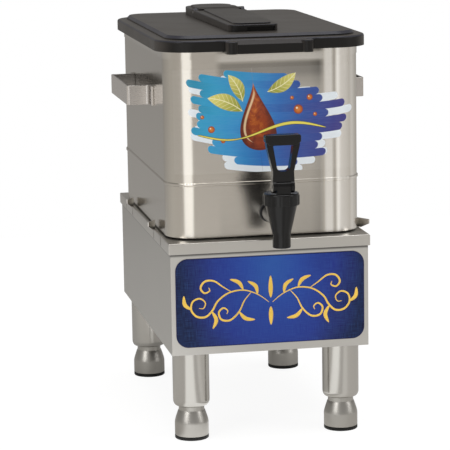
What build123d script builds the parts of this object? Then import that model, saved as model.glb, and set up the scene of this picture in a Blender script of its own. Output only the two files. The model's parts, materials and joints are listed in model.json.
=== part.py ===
"""Counter-top iced tea dispenser: a steel tank with a tap, on a steel stand with adjustable legs.

All sizes are millimetres. +Z is up, the tap points along -Y, and the origin is on the
floor under the centre of the whole dispenser.
"""
import math
import os

from build123d import *

os.makedirs("parts", exist_ok=True)

# Stand
stand_side_margin = 2.0
stand_end_margin = 15.0
stand_box_height = 126.4
sheet = 1.2
flange_width = 12.0
lip_height = 12.3
lip_gap = 0.8
deck_edge_round = 1.0
leg_inset_x = 25.6
leg_inset_y = 30.0
rail_sheet = 2.0
rail_width = 60.0
rail_upstand = 22.0
screw_radius = 3.2
screw_head = 1.4
screw_margin = 24.0

# Guide ears and slits on the deck's sides
slit_inner = 82.0
slit_outer = 130.0
slit_width = 3.2
slit_depth = 10.0
ear_length = 20.0
ear_height = 11.0
ear_angle = 60.0
ear_root = 6.0
ear_rise = 6.0

# Sign panel on the stand's front
sign_side_margin = 5.0
sign_height = 100.0
sign_bottom_margin = 8.6
sign_sheet = 1.0
sign_corner = 14.0

# Legs and feet
leg_height = 101.6
leg_radius = 20.65
leg_wall = 1.5
leg_top_plate = 3.0
leg_end_fillet = 5.2
leg_mouth_radius = 15.2
leg_floor_rise = 2.0
foot_radius = 19.15
foot_edge = 1.0
foot_flare_slope = 0.25
foot_pad_height = 3.6
foot_pad_edge = 0.6
foot_straight_top = 20.0
foot_shoulder = 31.5
foot_reveal = 6.5
neck_radius = 14.4
foot_stud_radius = 8.0
foot_stud_length = 42.0
insert_rise = 5.0
insert_height = 12.0
bolt_radius = 5.0
bolt_head_across = 15.0
bolt_head_height = 6.4
bolt_reach = 12.0

# Tank
tank_width = 220.0
tank_depth = 338.0
tank_corner = 31.0
tank_sheet = 1.0
tank_base_height = 58.0
tank_upper_height = 158.0
tank_floor_rise = 9.0
tank_floor_sheet = 1.2
tank_foot_flange = 10.0
pad_height = 2.0
pad_radius = 4.5
bead_height = 3.6
bead_out = 1.2
bead_round = 1.0
rim_band_height = 18.0
rim_band_out = 0.6

# Tank handles
grip_bar_length = 130.0
grip_reach = 28.5
grip_height = 22.2
grip_sheet = 3.0
grip_flange = 14.0
grip_above_seam = 91.6
grip_bend = 3.0
grip_root_bend = 4.0
weld_radius = 2.4
weld_height = 0.25
weld_setback = 4.5
weld_spacing = 10.0
pick_tolerance = 0.01

# Print film on the tank's front
film_height = 116.0
film_above_seam = 10.0
film_half_width = 102.0
film_sheet = 0.25

# Lid
lid_overhang = 8.5
lid_bow = 3.0
lid_drop = 9.0
lid_rim_rise = 3.7
lid_plateau_rise = 4.4
lid_plateau_inset = 14.7
lid_step = 3.0
lid_wall = 3.0
lid_shoulder = 2.6
lid_ring_height = 8.0
lid_ring_wall = 2.5
moulded_round = 1.0
joint_overlap = 1.0
thumb_x = 2.5
thumb_width = 97.0
thumb_reach = 8.0
thumb_drop = 15.2
thumb_ear_radius = 6.5
thumb_ear_reach = 3.0
thumb_ear_drop = 1.6
thumb_ear_round = 1.2
thumb_root_drop = 1.0
thumb_tip_drop = 5.0

# Brew opening and its flip cover
cover_x = -4.5
cover_width = 62.0
cover_front_width = 56.0
cover_setback = 41.5
cover_length = 220.0
cover_front_height = 7.4
cover_back_height = 8.8
cover_corner = 10.0
cover_panel_inset = 6.5
cover_panel_rise = 1.6
cover_panel_round = 0.7
cover_panel_corner = 8.0
housing_length = 70.0
housing_corner = 26.0
cover_notch_width = 32.0
cover_notch_shift = 8.0
cover_notch_depth = 5.0
cover_lip = 2.6
brew_width = 40.0
brew_length = 150.0
brew_setback = 84.0
cover_ring_wall = 2.0
cover_ring_depth = 3.0
hinge_radius = 5.7
hinge_pin_radius = 1.5
hinge_ear_width = 5.0
hinge_pin_proud = 0.4
knuckle_tongue = 9.4

# Tap
tap_x = 2.5
tap_reach = 65.0
shank_above_tank_foot = 26.0
spout_drop = 28.5
spout_radius = 9.9
spout_straight = 15.0
spout_top_radius = 17.5
spout_top_rise = 19.0
spout_bore = 5.6
spout_foot_round = 1.2
chamber_radius = 9.2
chamber_drop = 8.0
spigot_radius = 16.0
spigot_height = 8.0
boss_radius = 9.5
shank_radius = 8.5
shank_bore = 5.0
shank_length = 25.0
bonnet_radius = 20.0
bonnet_height = 13.0
bonnet_round = 2.0
bonnet_rib_height = 10.5
bonnet_rib_count = 24
bonnet_rib_radius = 0.9
washer_thickness = 3.0
outer_washer_radius = 11.0
wing_hub_radius = 12.0
wing_nut_length = 12.0
wing_span = 64.0
wing_height = 10.0

# Tap handle and its linkage
pivot_forward = 9.0
pivot_rise = 8.0
pivot_pin_radius = 2.0
handle_pin_proud = 0.3
cheek_radius = 7.2
cheek_inner = 8.0
cheek_outer = 12.0
lug_radius = 6.5
lug_half_width = 3.6
lug_front_half = 7.6
lug_front_edge = 1.2
handle_thickness = 10.0
handle_web_drop = 8.2
handle_neck_half = 11.5
handle_neck_rise = 16.5
handle_arm_half = 18.2
handle_arm_rise = 45.0
handle_bar_half = 19.6
handle_bar_height = 11.8
handle_bar_top = 56.5
handle_bar_cut = 4.3
handle_bar_round = 2.5
handle_bar_depth = 13.0
handle_hole_half = 11.2
handle_hole_low_half = 6.6
handle_hole_bottom = 17.0
handle_hole_top = 45.2
handle_hole_round = 5.5
finger_inner = 4.2
finger_low = 2.5
finger_height = 3.2
finger_front = 2.0
finger_back = 3.5
finger_root = 0.5
stem_radius = 3.0
stem_head_half = 7.0
stem_head_depth = 6.0
stem_head_height = 3.0
stem_collar_radius = 7.0
stem_collar_height = 2.0
seat_cup_radius = 7.6
seat_cup_height = 12.0
seat_cup_socket = 8.0
seat_cup_edge = 2.0
spring_radius = 5.0
spring_wire = 0.6
spring_turns = 6

# Clearances
running_fit = 0.05
press_gap = 0.02
loose_fit = 0.8
rest_gap = 0.3
bolt_clearance = 0.1
shank_clearance = 0.2

# Places worked out from the sizes
stand_width = tank_width + 2 * stand_side_margin
stand_depth = tank_depth + 2 * stand_end_margin
deck_top = leg_height + stand_box_height
lip_overhang = lip_gap + sheet
deck_width = stand_width + 2 * lip_overhang
deck_depth = stand_depth + 2 * lip_overhang
tap_front_reach = tap_reach - stand_end_margin + bonnet_radius
stand_mid_y = (tap_front_reach - lip_overhang) / 2
stand_front_y = stand_mid_y - stand_depth / 2
tank_front_y = stand_mid_y - tank_depth / 2
tank_foot = deck_top + pad_height
seam_height = tank_foot + tank_base_height
tank_top = seam_height + tank_upper_height
spout_y = tank_front_y - tap_reach
shank_height = tank_foot + shank_above_tank_foot
spout_top = shank_height + spout_top_rise
bonnet_top = spout_top + bonnet_height
pivot_height = bonnet_top + pivot_rise
pivot_y = spout_y - pivot_forward
lid_rim_top = tank_top + lid_rim_rise
plateau_top = lid_rim_top + lid_plateau_rise
lid_front_y = tank_front_y - lid_overhang
cover_front_y = lid_front_y + cover_setback
hinge_y = cover_front_y + cover_length - hinge_radius
hinge_height = plateau_top + rest_gap + hinge_radius


def level(height):
    """Horizontal plane at a height, centred on the stand and the tank."""
    return Plane((0, stand_mid_y, height))


def tap_level(height, y=spout_y):
    """Horizontal plane at a height, centred on the tap."""
    return Plane((tap_x, y, height))


def facing_front(y, x=0.0, height=0.0):
    """Upright plane that looks at the user: its x is X, its y is Z, its normal is -Y."""
    return Plane((x, y, height), x_dir=(1, 0, 0), z_dir=(0, -1, 0))


def facing_side(x, y=0.0, height=0.0):
    """Upright plane that looks to the right: its x is Y, its y is Z, its normal is +X."""
    return Plane((x, y, height), x_dir=(0, 1, 0), z_dir=(1, 0, 0))


# Stand deck: top sheet with folded lips, slits and four flared guide ears
with BuildPart() as stand_deck:
    with BuildSketch(level(deck_top - lip_height)):
        Rectangle(deck_width, deck_depth)
        Rectangle(deck_width - 2 * sheet, deck_depth - 2 * sheet, mode=Mode.SUBTRACT)
    extrude(amount=lip_height)
    with BuildSketch(level(deck_top - sheet)):
        Rectangle(deck_width, deck_depth)
    extrude(amount=sheet)
    fillet(stand_deck.edges().group_by(Axis.Z)[-1], radius=deck_edge_round)
    with BuildSketch(level(deck_top - sheet - slit_depth)):
        for side in (-1, 1):
            for slit_y in (-slit_outer, -slit_inner, slit_inner, slit_outer):
                with Locations((side * deck_width / 2, slit_y)):
                    Rectangle(3 * sheet, slit_width)
    extrude(amount=slit_depth, mode=Mode.SUBTRACT)
    ear_across = math.cos(math.radians(ear_angle))
    ear_forward = math.sin(math.radians(ear_angle))
    for side, ear_offset in ((-1, slit_inner), (1, slit_outer)):
        for end in (-1, 1):
            ear_face = Plane(
                (side * (deck_width / 2 - sheet), stand_mid_y + end * ear_offset, deck_top - sheet / 2),
                x_dir=(side * ear_across, -ear_forward, 0),
                z_dir=(-ear_forward, -side * ear_across, 0),
            )
            with BuildSketch(ear_face):
                with BuildLine():
                    Polyline(
                        (0, 0),
                        (ear_root, 0),
                        (ear_length, ear_rise),
                        (ear_length, ear_height),
                        (0, ear_height),
                        close=True,
                    )
                make_face()
            extrude(amount=sheet / 2, both=True)
stand_deck.part.label = "stand_deck"
export_step(stand_deck.part, "parts/stand_deck.step")

# Stand panels: front and back close the width, the sides stand between them
panel_height = stand_box_height - sheet
side_depth = stand_depth - 2 * sheet
flange_end_gap = flange_width + 2 * sheet

for end, name in ((-1, "stand_front"), (1, "stand_back")):
    with BuildPart() as end_panel:
        panel_mid = end * (stand_depth - sheet) / 2
        with BuildSketch(level(leg_height)):
            with Locations((0, panel_mid)):
                Rectangle(stand_width, sheet)
        extrude(amount=panel_height)
        with BuildSketch(level(deck_top - 2 * sheet)):
            with Locations((0, end * (stand_depth / 2 - sheet - flange_width / 2))):
                Rectangle(stand_width - 2 * flange_end_gap, flange_width)
        extrude(amount=sheet)
    end_panel.part.label = name
    export_step(end_panel.part, f"parts/{name}.step")

for side, name in ((-1, "stand_left"), (1, "stand_right")):
    with BuildPart() as side_panel:
        with BuildSketch(level(leg_height)):
            with Locations((side * (stand_width - sheet) / 2, 0)):
                Rectangle(sheet, side_depth)
        extrude(amount=panel_height)
        flange_x = side * (stand_width / 2 - sheet - flange_width / 2)
        with BuildSketch(level(deck_top - 2 * sheet)):
            with Locations((flange_x, 0)):
                Rectangle(flange_width, side_depth - 2 * flange_end_gap)
        extrude(amount=sheet)
        with BuildSketch(level(leg_height)):
            with Locations((flange_x, 0)):
                Rectangle(flange_width, stand_depth - 2 * (rail_width + 2 * sheet))
        extrude(amount=sheet)
    side_panel.part.label = name
    export_step(side_panel.part, f"parts/{name}.step")

# Leg rails: an angle across the stand's foot at each end, which the legs bolt to
leg_x = stand_width / 2 - leg_inset_x
leg_y = stand_depth / 2 - leg_inset_y
for end, name in ((-1, "leg_rail_front"), (1, "leg_rail_back")):
    with BuildPart() as leg_rail:
        rail_mid = end * (stand_depth / 2 - sheet - rail_width / 2)
        with BuildSketch(level(leg_height)):
            with Locations((0, rail_mid)):
                Rectangle(stand_width - 2 * sheet, rail_width)
            with Locations((-leg_x, end * leg_y), (leg_x, end * leg_y)):
                Circle(bolt_radius + bolt_clearance, mode=Mode.SUBTRACT)
        extrude(amount=rail_sheet)
        with BuildSketch(level(leg_height + rail_sheet)):
            with Locations((0, rail_mid - end * (rail_width - rail_sheet) / 2)):
                Rectangle(stand_width - 2 * sheet, rail_sheet)
        extrude(amount=rail_upstand)
    leg_rail.part.label = name
    export_step(leg_rail.part, f"parts/{name}.step")

# Sign panel: a thin rounded plate on the stand's front
sign_width = stand_width - 2 * sign_side_margin
sign_mid = leg_height + sign_bottom_margin + sign_height / 2
with BuildPart() as sign_panel:
    with BuildSketch(facing_front(stand_front_y, height=sign_mid)):
        RectangleRounded(sign_width, sign_height, sign_corner)
    extrude(amount=sign_sheet)
sign_panel.part.label = "sign_panel"
export_step(sign_panel.part, "parts/sign_panel.step")

# Screws that hold the back panel
with BuildPart() as back_screws:
    screw_span_x = stand_width - 2 * screw_margin
    screw_span_z = panel_height - 2 * screw_margin
    back_face_y = stand_mid_y + stand_depth / 2
    with BuildSketch(facing_front(back_face_y, height=leg_height + panel_height / 2)):
        with GridLocations(screw_span_x / 2, screw_span_z, 3, 2):
            Circle(screw_radius)
    extrude(amount=-screw_head)
    chamfer(back_screws.edges().group_by(Axis.Y)[-1], screw_head / 3)
back_screws.part.label = "back_screws"
export_step(back_screws.part, "parts/back_screws.step")

# Legs: tube, threaded insert, adjustable foot and rubber pad at each corner
mouth_height = foot_shoulder + foot_reveal
insert_bottom = mouth_height + leg_wall + insert_rise
stud_top = foot_shoulder + foot_stud_length
corners = {
    "front_left": (-leg_x, stand_mid_y - leg_y),
    "front_right": (leg_x, stand_mid_y - leg_y),
    "back_left": (-leg_x, stand_mid_y + leg_y),
    "back_right": (leg_x, stand_mid_y + leg_y),
}

for corner, (corner_x, corner_y) in corners.items():
    leg_section = Plane((corner_x, corner_y, 0), x_dir=(1, 0, 0), z_dir=(0, -1, 0))
    leg_axis = Axis((corner_x, corner_y, 0), (0, 0, 1))

    with BuildPart() as leg_tube:
        with BuildSketch(leg_section):
            with BuildLine():
                Polyline(
                    (bolt_radius, leg_height),
                    (leg_radius, leg_height),
                    (leg_radius, mouth_height),
                    (leg_mouth_radius, mouth_height),
                    (leg_mouth_radius, mouth_height + leg_wall),
                    (leg_radius - leg_wall, mouth_height + leg_wall + leg_floor_rise),
                    (leg_radius - leg_wall, leg_height - leg_top_plate),
                    (bolt_radius, leg_height - leg_top_plate),
                    close=True,
                )
            make_face()
        revolve(axis=leg_axis)
        low_edges = leg_tube.edges().filter_by(GeomType.CIRCLE).group_by(Axis.Z)[0]
        fillet(low_edges.sort_by(SortBy.RADIUS)[-1], radius=leg_end_fillet)
    leg_tube.part.label = f"leg_tube_{corner}"
    export_step(leg_tube.part, f"parts/leg_tube_{corner}.step")

    with BuildPart() as leg_insert:
        with BuildSketch(Plane((corner_x, corner_y, insert_bottom))):
            Circle(leg_radius - leg_wall - press_gap)
            Circle(foot_stud_radius + running_fit, mode=Mode.SUBTRACT)
        extrude(amount=insert_height)
    leg_insert.part.label = f"leg_insert_{corner}"
    export_step(leg_insert.part, f"parts/leg_insert_{corner}.step")

    with BuildPart() as foot:
        with BuildSketch(leg_section):
            with BuildLine():
                Polyline(
                    (neck_radius, foot_shoulder),
                    (neck_radius, insert_bottom - rest_gap),
                    (foot_stud_radius, insert_bottom - rest_gap),
                    (foot_stud_radius, stud_top),
                    (0, stud_top),
                    (0, foot_pad_height),
                    (foot_radius - foot_edge, foot_pad_height),
                    (foot_radius, foot_pad_height + foot_edge),
                    (foot_radius, foot_straight_top),
                )
                Spline(
                    (foot_radius, foot_straight_top),
                    (neck_radius, foot_shoulder),
                    tangents=((0, 1), (-foot_flare_slope, 1)),
                )
            make_face()
        revolve(axis=leg_axis)
    foot.part.label = f"foot_{corner}"
    export_step(foot.part, f"parts/foot_{corner}.step")

    with BuildPart() as foot_pad:
        with BuildSketch(Plane((corner_x, corner_y, 0))):
            Circle(foot_radius)
        extrude(amount=foot_pad_height)
        chamfer(foot_pad.edges().group_by(Axis.Z)[0], foot_pad_edge)
    foot_pad.part.label = f"foot_pad_{corner}"
    export_step(foot_pad.part, f"parts/foot_pad_{corner}.step")

# Bolts that hold the legs to the rails
with BuildPart() as leg_bolts:
    head_bottom = leg_height + rail_sheet
    with BuildSketch(Plane.XY.offset(head_bottom)):
        with Locations(*corners.values()):
            RegularPolygon(bolt_head_across / 2, 6, major_radius=False)
    extrude(amount=bolt_head_height)
    with BuildSketch(Plane.XY.offset(head_bottom - bolt_reach)):
        with Locations(*corners.values()):
            Circle(bolt_radius - running_fit)
    extrude(amount=bolt_reach)
leg_bolts.part.label = "leg_bolts"
export_step(leg_bolts.part, "parts/leg_bolts.step")

# Tank base: lower wall with a turned-in foot flange and the tap's hole
with BuildPart() as tank_base:
    with BuildSketch(level(tank_foot)):
        RectangleRounded(tank_width, tank_depth, tank_corner)
        offset(amount=-tank_sheet, mode=Mode.SUBTRACT)
    extrude(amount=tank_base_height)
    with BuildSketch(level(tank_foot)):
        RectangleRounded(tank_width, tank_depth, tank_corner)
        offset(amount=-tank_foot_flange, mode=Mode.SUBTRACT)
    extrude(amount=tank_sheet)
    with BuildSketch(facing_front(tank_front_y + 2 * tank_sheet, tap_x, shank_height)):
        Circle(shank_radius + shank_clearance)
    extrude(amount=4 * tank_sheet, mode=Mode.SUBTRACT)
tank_base.part.label = "tank_base"
export_step(tank_base.part, "parts/tank_base.step")

# Tank floor: the sheet that closes the tank above its foot flange
with BuildPart() as tank_floor:
    with BuildSketch(level(tank_foot + tank_floor_rise)):
        floor_gap = tank_sheet + press_gap
        RectangleRounded(
            tank_width - 2 * floor_gap, tank_depth - 2 * floor_gap, tank_corner - floor_gap
        )
    extrude(amount=tank_floor_sheet)
tank_floor.part.label = "tank_floor"
export_step(tank_floor.part, "parts/tank_floor.step")

# Tank wall: upper wall with a bead at the seam and a folded band at the mouth
with BuildPart() as tank_wall:
    with BuildSketch(level(seam_height)):
        RectangleRounded(
            tank_width + 2 * bead_out, tank_depth + 2 * bead_out, tank_corner + bead_out
        )
    extrude(amount=bead_height)
    bead_rings = tank_wall.edges().group_by(Axis.Z)
    fillet(bead_rings[0] + bead_rings[-1], radius=bead_round)
    with BuildSketch(level(seam_height)):
        RectangleRounded(tank_width, tank_depth, tank_corner)
    extrude(amount=tank_upper_height)
    with BuildSketch(level(tank_top - rim_band_height)):
        RectangleRounded(
            tank_width + 2 * rim_band_out,
            tank_depth + 2 * rim_band_out,
            tank_corner + rim_band_out,
        )
    extrude(amount=rim_band_height)
    with BuildSketch(level(seam_height)):
        RectangleRounded(tank_width, tank_depth, tank_corner)
        offset(amount=-tank_sheet, mode=Mode.INTERSECT)
    extrude(amount=tank_upper_height, mode=Mode.SUBTRACT)
tank_wall.part.label = "tank_wall"
export_step(tank_wall.part, "parts/tank_wall.step")

# Rubber pads between the tank's foot flange and the deck
with BuildPart() as tank_pads:
    with BuildSketch(level(deck_top)):
        pad_inset = tank_foot_flange / 2
        with GridLocations(
            tank_width - 2 * pad_inset, tank_depth - 3 * tank_corner, 2, 2
        ):
            Circle(pad_radius)
    extrude(amount=pad_height)
tank_pads.part.label = "tank_pads"
export_step(tank_pads.part, "parts/tank_pads.step")

# Print film on the tank's front, wrapped into the corners
with BuildPart() as print_film:
    with BuildSketch(level(seam_height + bead_height + film_above_seam)):
        RectangleRounded(
            tank_width + 2 * (film_sheet + press_gap),
            tank_depth + 2 * (film_sheet + press_gap),
            tank_corner + film_sheet + press_gap,
        )
        RectangleRounded(
            tank_width + 2 * press_gap,
            tank_depth + 2 * press_gap,
            tank_corner + press_gap,
            mode=Mode.SUBTRACT,
        )
        with Locations((0, -tank_depth / 2)):
            Rectangle(2 * film_half_width, 2 * tank_corner, mode=Mode.INTERSECT)
    extrude(amount=film_height)
print_film.part.label = "print_film"
export_step(print_film.part, "parts/print_film.step")

# Tank handles: a bent strap on each side with flanges welded to the wall
grip_mid = seam_height + grip_above_seam
for side, name in ((-1, "handle_left"), (1, "handle_right")):
    with BuildPart() as tank_handle:
        wall_x = tank_width / 2 + press_gap
        outer_x = tank_width / 2 + grip_reach
        half_bar = grip_bar_length / 2
        half_foot = half_bar + grip_flange
        with BuildSketch(level(grip_mid - grip_height / 2)):
            with BuildLine():
                Polyline(
                    (side * wall_x, half_foot),
                    (side * (wall_x + grip_sheet), half_foot),
                    (side * (wall_x + grip_sheet), half_bar),
                    (side * outer_x, half_bar),
                    (side * outer_x, -half_bar),
                    (side * (wall_x + grip_sheet), -half_bar),
                    (side * (wall_x + grip_sheet), -half_foot),
                    (side * wall_x, -half_foot),
                    (side * wall_x, grip_sheet - half_bar),
                    (side * (outer_x - grip_sheet), grip_sheet - half_bar),
                    (side * (outer_x - grip_sheet), half_bar - grip_sheet),
                    (side * wall_x, half_bar - grip_sheet),
                    close=True,
                )
            make_face()
        extrude(amount=grip_height)
        bend_edges = tank_handle.edges().filter_by(Axis.Z).filter_by(
            lambda e: abs(abs(e.center().Y - stand_mid_y) - half_bar) < pick_tolerance
            and abs(abs(e.center().X) - outer_x) < pick_tolerance
        )
        fillet(bend_edges, radius=grip_bend)
        root_edges = tank_handle.edges().filter_by(Axis.Z).filter_by(
            lambda e: abs(abs(e.center().Y - stand_mid_y) - half_bar) < pick_tolerance
            and abs(abs(e.center().X) - wall_x - grip_sheet) < pick_tolerance
        )
        fillet(root_edges, radius=grip_root_bend)
        with BuildSketch(facing_side(side * (wall_x + grip_sheet), stand_mid_y, grip_mid)):
            with GridLocations(2 * (half_foot - weld_setback), weld_spacing, 2, 2):
                Circle(weld_radius)
        extrude(amount=side * weld_height)
    tank_handle.part.label = name
    export_step(tank_handle.part, f"parts/{name}.step")


def lid_outline(inset, height):
    """Lid plan at a height: a rounded rectangle with a gently bowed front."""
    half_x = tank_width / 2 + lid_overhang - inset
    half_y = tank_depth / 2 + lid_overhang - inset
    corner = tank_corner + lid_overhang - inset
    with BuildSketch(level(height)) as outline:
        with BuildLine():
            Polyline((-half_x, -half_y), (-half_x, half_y), (half_x, half_y), (half_x, -half_y))
            ThreePointArc((-half_x, -half_y), (0, -half_y - lid_bow), (half_x, -half_y))
        make_face()
        fillet(outline.vertices(), radius=corner)
    return outline.sketch


# Lid: moulded cover with a skirt, a raised plateau, a thumb tab and the brew opening
lid_bottom = tank_top - lid_drop
thumb_low = lid_rim_top - thumb_drop
thumb_front_y = lid_front_y - lid_bow - thumb_reach
thumb_half = thumb_width / 2 - thumb_ear_radius
thumb_ear_y = thumb_front_y - thumb_ear_reach + thumb_ear_radius
thumb_ear_length = lid_front_y + lid_wall / 2 - thumb_ear_y
brew_y = lid_front_y + brew_setback + brew_length / 2 - stand_mid_y
with BuildPart() as lid:
    extrude(lid_outline(0.0, lid_bottom), amount=lid_rim_top - lid_bottom)
    shoulder_edges = lid.faces().sort_by(Axis.Z)[-1].edges()
    fillet(shoulder_edges, radius=lid_shoulder)
    plateau_plan = lid_outline(lid_plateau_inset - lid_step, lid_rim_top - lid_wall / 2)
    extrude(plateau_plan, amount=lid_plateau_rise + lid_wall / 2)
    plateau_edges = lid.faces().sort_by(Axis.Z)[-1].edges()
    chamfer(plateau_edges, length=lid_step)
    with BuildSketch(facing_side(thumb_x - thumb_half)):
        with BuildLine():
            Polyline(
                (lid_front_y + lid_wall / 2, thumb_low),
                (thumb_front_y, thumb_low),
                (thumb_front_y, lid_rim_top - thumb_tip_drop),
                (lid_front_y - lid_bow, lid_rim_top - thumb_root_drop),
                (lid_front_y + lid_wall / 2, lid_rim_top - thumb_root_drop),
                close=True,
            )
        make_face()
    extrude(amount=2 * thumb_half)
    with BuildSketch(Plane((thumb_x, thumb_ear_y, thumb_low))):
        for end in (-1, 1):
            with Locations((end * thumb_half, 0)):
                Circle(thumb_ear_radius)
            with Locations((end * thumb_half, thumb_ear_length / 2)):
                Rectangle(2 * thumb_ear_radius, thumb_ear_length)
    extrude(amount=thumb_drop - thumb_ear_drop)
    ear_top = lid_rim_top - thumb_ear_drop
    ear_arcs = lid.edges().filter_by(
        lambda e: abs(e.center().Z - ear_top) < pick_tolerance
        and e.center().Y < thumb_ear_y
    )
    fillet(ear_arcs, radius=thumb_ear_round)
    skirt_plan = lid_outline(lid_wall, lid_bottom)
    extrude(skirt_plan, amount=tank_top - lid_bottom, mode=Mode.SUBTRACT)
    crown_plan = lid_outline(lid_plateau_inset + lid_wall / 2, tank_top)
    extrude(crown_plan, amount=plateau_top - lid_wall - tank_top, mode=Mode.SUBTRACT)
    thumb_pocket_y = lid_front_y - lid_bow - (thumb_reach - lid_wall) / 2
    with BuildSketch(Plane((thumb_x, thumb_pocket_y, thumb_low))):
        Rectangle(2 * (thumb_half - thumb_ear_radius), thumb_reach - lid_wall)
    extrude(amount=thumb_drop - thumb_tip_drop - lid_wall, mode=Mode.SUBTRACT)
    with BuildSketch(level(tank_top - lid_ring_height)):
        ring_gap = tank_sheet + loose_fit
        RectangleRounded(
            tank_width - 2 * ring_gap, tank_depth - 2 * ring_gap, tank_corner - ring_gap
        )
        offset(amount=-lid_ring_wall, mode=Mode.SUBTRACT)
    extrude(amount=lid_ring_height)
    with BuildSketch(level(lid_bottom)):
        with Locations((cover_x, brew_y)):
            SlotOverall(brew_length, brew_width, rotation=90)
    extrude(amount=plateau_top - lid_bottom, mode=Mode.SUBTRACT)
    housing_front_y = hinge_y + hinge_radius + rest_gap
    housing_mid_y = housing_front_y + housing_length / 2
    housing_top = plateau_top + rest_gap + cover_back_height
    housing_base = plateau_top - joint_overlap
    with BuildSketch(Plane((cover_x, housing_mid_y, housing_base))) as housing_plan:
        Rectangle(cover_width, housing_length)
        fillet(housing_plan.vertices().group_by(Axis.Y)[-1], radius=housing_corner)
    extrude(amount=housing_top - housing_base)
    fillet(lid.faces().sort_by(Axis.Z)[-1].edges(), radius=moulded_round)
    panel_back_length = housing_length - cover_panel_inset
    panel_mid_y = housing_front_y + panel_back_length / 2
    with BuildSketch(Plane((cover_x, panel_mid_y, housing_top - joint_overlap))) as panel_plan:
        Rectangle(cover_width - 2 * cover_panel_inset, panel_back_length)
        fillet(panel_plan.vertices().group_by(Axis.Y)[-1], radius=housing_corner - cover_panel_inset)
    extrude(amount=cover_panel_rise + joint_overlap)
    fillet(lid.faces().sort_by(Axis.Z)[-1].edges(), radius=cover_panel_round)
    hinge_left_x = cover_x - cover_width / 2
    for ear_start in (hinge_left_x, hinge_left_x + cover_width - hinge_ear_width):
        with BuildSketch(facing_side(ear_start, hinge_y, hinge_height)):
            Circle(hinge_radius)
            with Locations((0, -hinge_radius)):
                Rectangle(2 * hinge_radius, 2 * hinge_radius)
            Circle(hinge_pin_radius + press_gap, mode=Mode.SUBTRACT)
        extrude(amount=hinge_ear_width)
lid.part.label = "lid"
export_step(lid.part, "parts/lid.step")

# Flip cover over the brew opening, hinged at its back end
cover_low = plateau_top + rest_gap
knuckle_width = cover_width - 2 * (hinge_ear_width + rest_gap)
cover_plate_back = hinge_y - hinge_radius - rest_gap
cover_mid_y = (cover_front_y + cover_plate_back) / 2
with BuildPart() as flip_cover:
    with BuildSketch(facing_side(cover_x - cover_width / 2, 0, cover_low)):
        with BuildLine():
            Polyline(
                (cover_front_y, 0),
                (cover_front_y, cover_front_height),
                (cover_plate_back, cover_back_height),
                (cover_plate_back, 0),
                close=True,
            )
        make_face()
    extrude(amount=cover_width)
    with BuildSketch(Plane((cover_x, 0, cover_low))):
        with BuildLine():
            Polyline(
                (-cover_front_width / 2, cover_front_y),
                (cover_front_width / 2, cover_front_y),
                (cover_width / 2, cover_plate_back),
                (-cover_width / 2, cover_plate_back),
                close=True,
            )
        make_face()
    extrude(amount=2 * cover_back_height, mode=Mode.INTERSECT)
    front_corners = flip_cover.edges().filter_by(Axis.Z).group_by(Axis.Y)[0]
    fillet(front_corners, radius=cover_corner)
    top_face = flip_cover.faces().filter_by(lambda f: f.normal_at().Z > 0.9).sort_by(Axis.Z)[-1]
    fillet(top_face.edges(), radius=moulded_round)
    slope = (cover_back_height - cover_front_height) / (cover_plate_back - cover_front_y)
    panel_length = cover_plate_back - cover_front_y - 2 * cover_panel_inset
    panel_plane = Plane(
        (cover_x, cover_mid_y, cover_low + (cover_front_height + cover_back_height) / 2),
        x_dir=(1, 0, 0),
        z_dir=(0, -slope, 1),
    )
    with BuildSketch(panel_plane.offset(-joint_overlap)):
        panel_width = cover_front_width - 2 * cover_panel_inset
        RectangleRounded(panel_width, panel_length, cover_panel_corner)
    extrude(amount=cover_panel_rise + joint_overlap)
    upper_faces = flip_cover.faces().filter_by(lambda f: f.normal_at().Z > 0.9)
    fillet(upper_faces.sort_by(SortBy.AREA)[-1].edges(), radius=cover_panel_round)
    with BuildSketch(facing_side(cover_x - knuckle_width / 2, hinge_y, hinge_height)):
        Circle(hinge_radius)
        with Locations((-hinge_radius, 0)):
            Rectangle(2 * hinge_radius + rest_gap, knuckle_tongue)
        Circle(hinge_pin_radius + running_fit, mode=Mode.SUBTRACT)
    extrude(amount=knuckle_width)
    with BuildSketch(Plane((cover_x + cover_notch_shift, cover_front_y, cover_low))):
        Rectangle(cover_notch_width, 2 * cover_notch_depth)
    extrude(amount=cover_front_height - cover_lip, mode=Mode.SUBTRACT)
    with BuildSketch(Plane((cover_x, stand_mid_y + brew_y, cover_low - cover_ring_depth))):
        ring_length = brew_length - 2 * loose_fit
        ring_width = brew_width - 2 * loose_fit
        SlotOverall(ring_length, ring_width, rotation=90)
        SlotOverall(
            ring_length - 2 * cover_ring_wall,
            ring_width - 2 * cover_ring_wall,
            rotation=90,
            mode=Mode.SUBTRACT,
        )
    extrude(amount=cover_ring_depth + joint_overlap)
flip_cover.part.label = "flip_cover"
export_step(flip_cover.part, "parts/flip_cover.step")

# Hinge pin of the flip cover
with BuildPart() as cover_pin:
    pin_start_x = cover_x - cover_width / 2 - hinge_pin_proud
    with BuildSketch(facing_side(pin_start_x, hinge_y, hinge_height)):
        Circle(hinge_pin_radius)
    extrude(amount=cover_width + 2 * hinge_pin_proud)
cover_pin.part.label = "cover_pin"
export_step(cover_pin.part, "parts/cover_pin.step")

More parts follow.
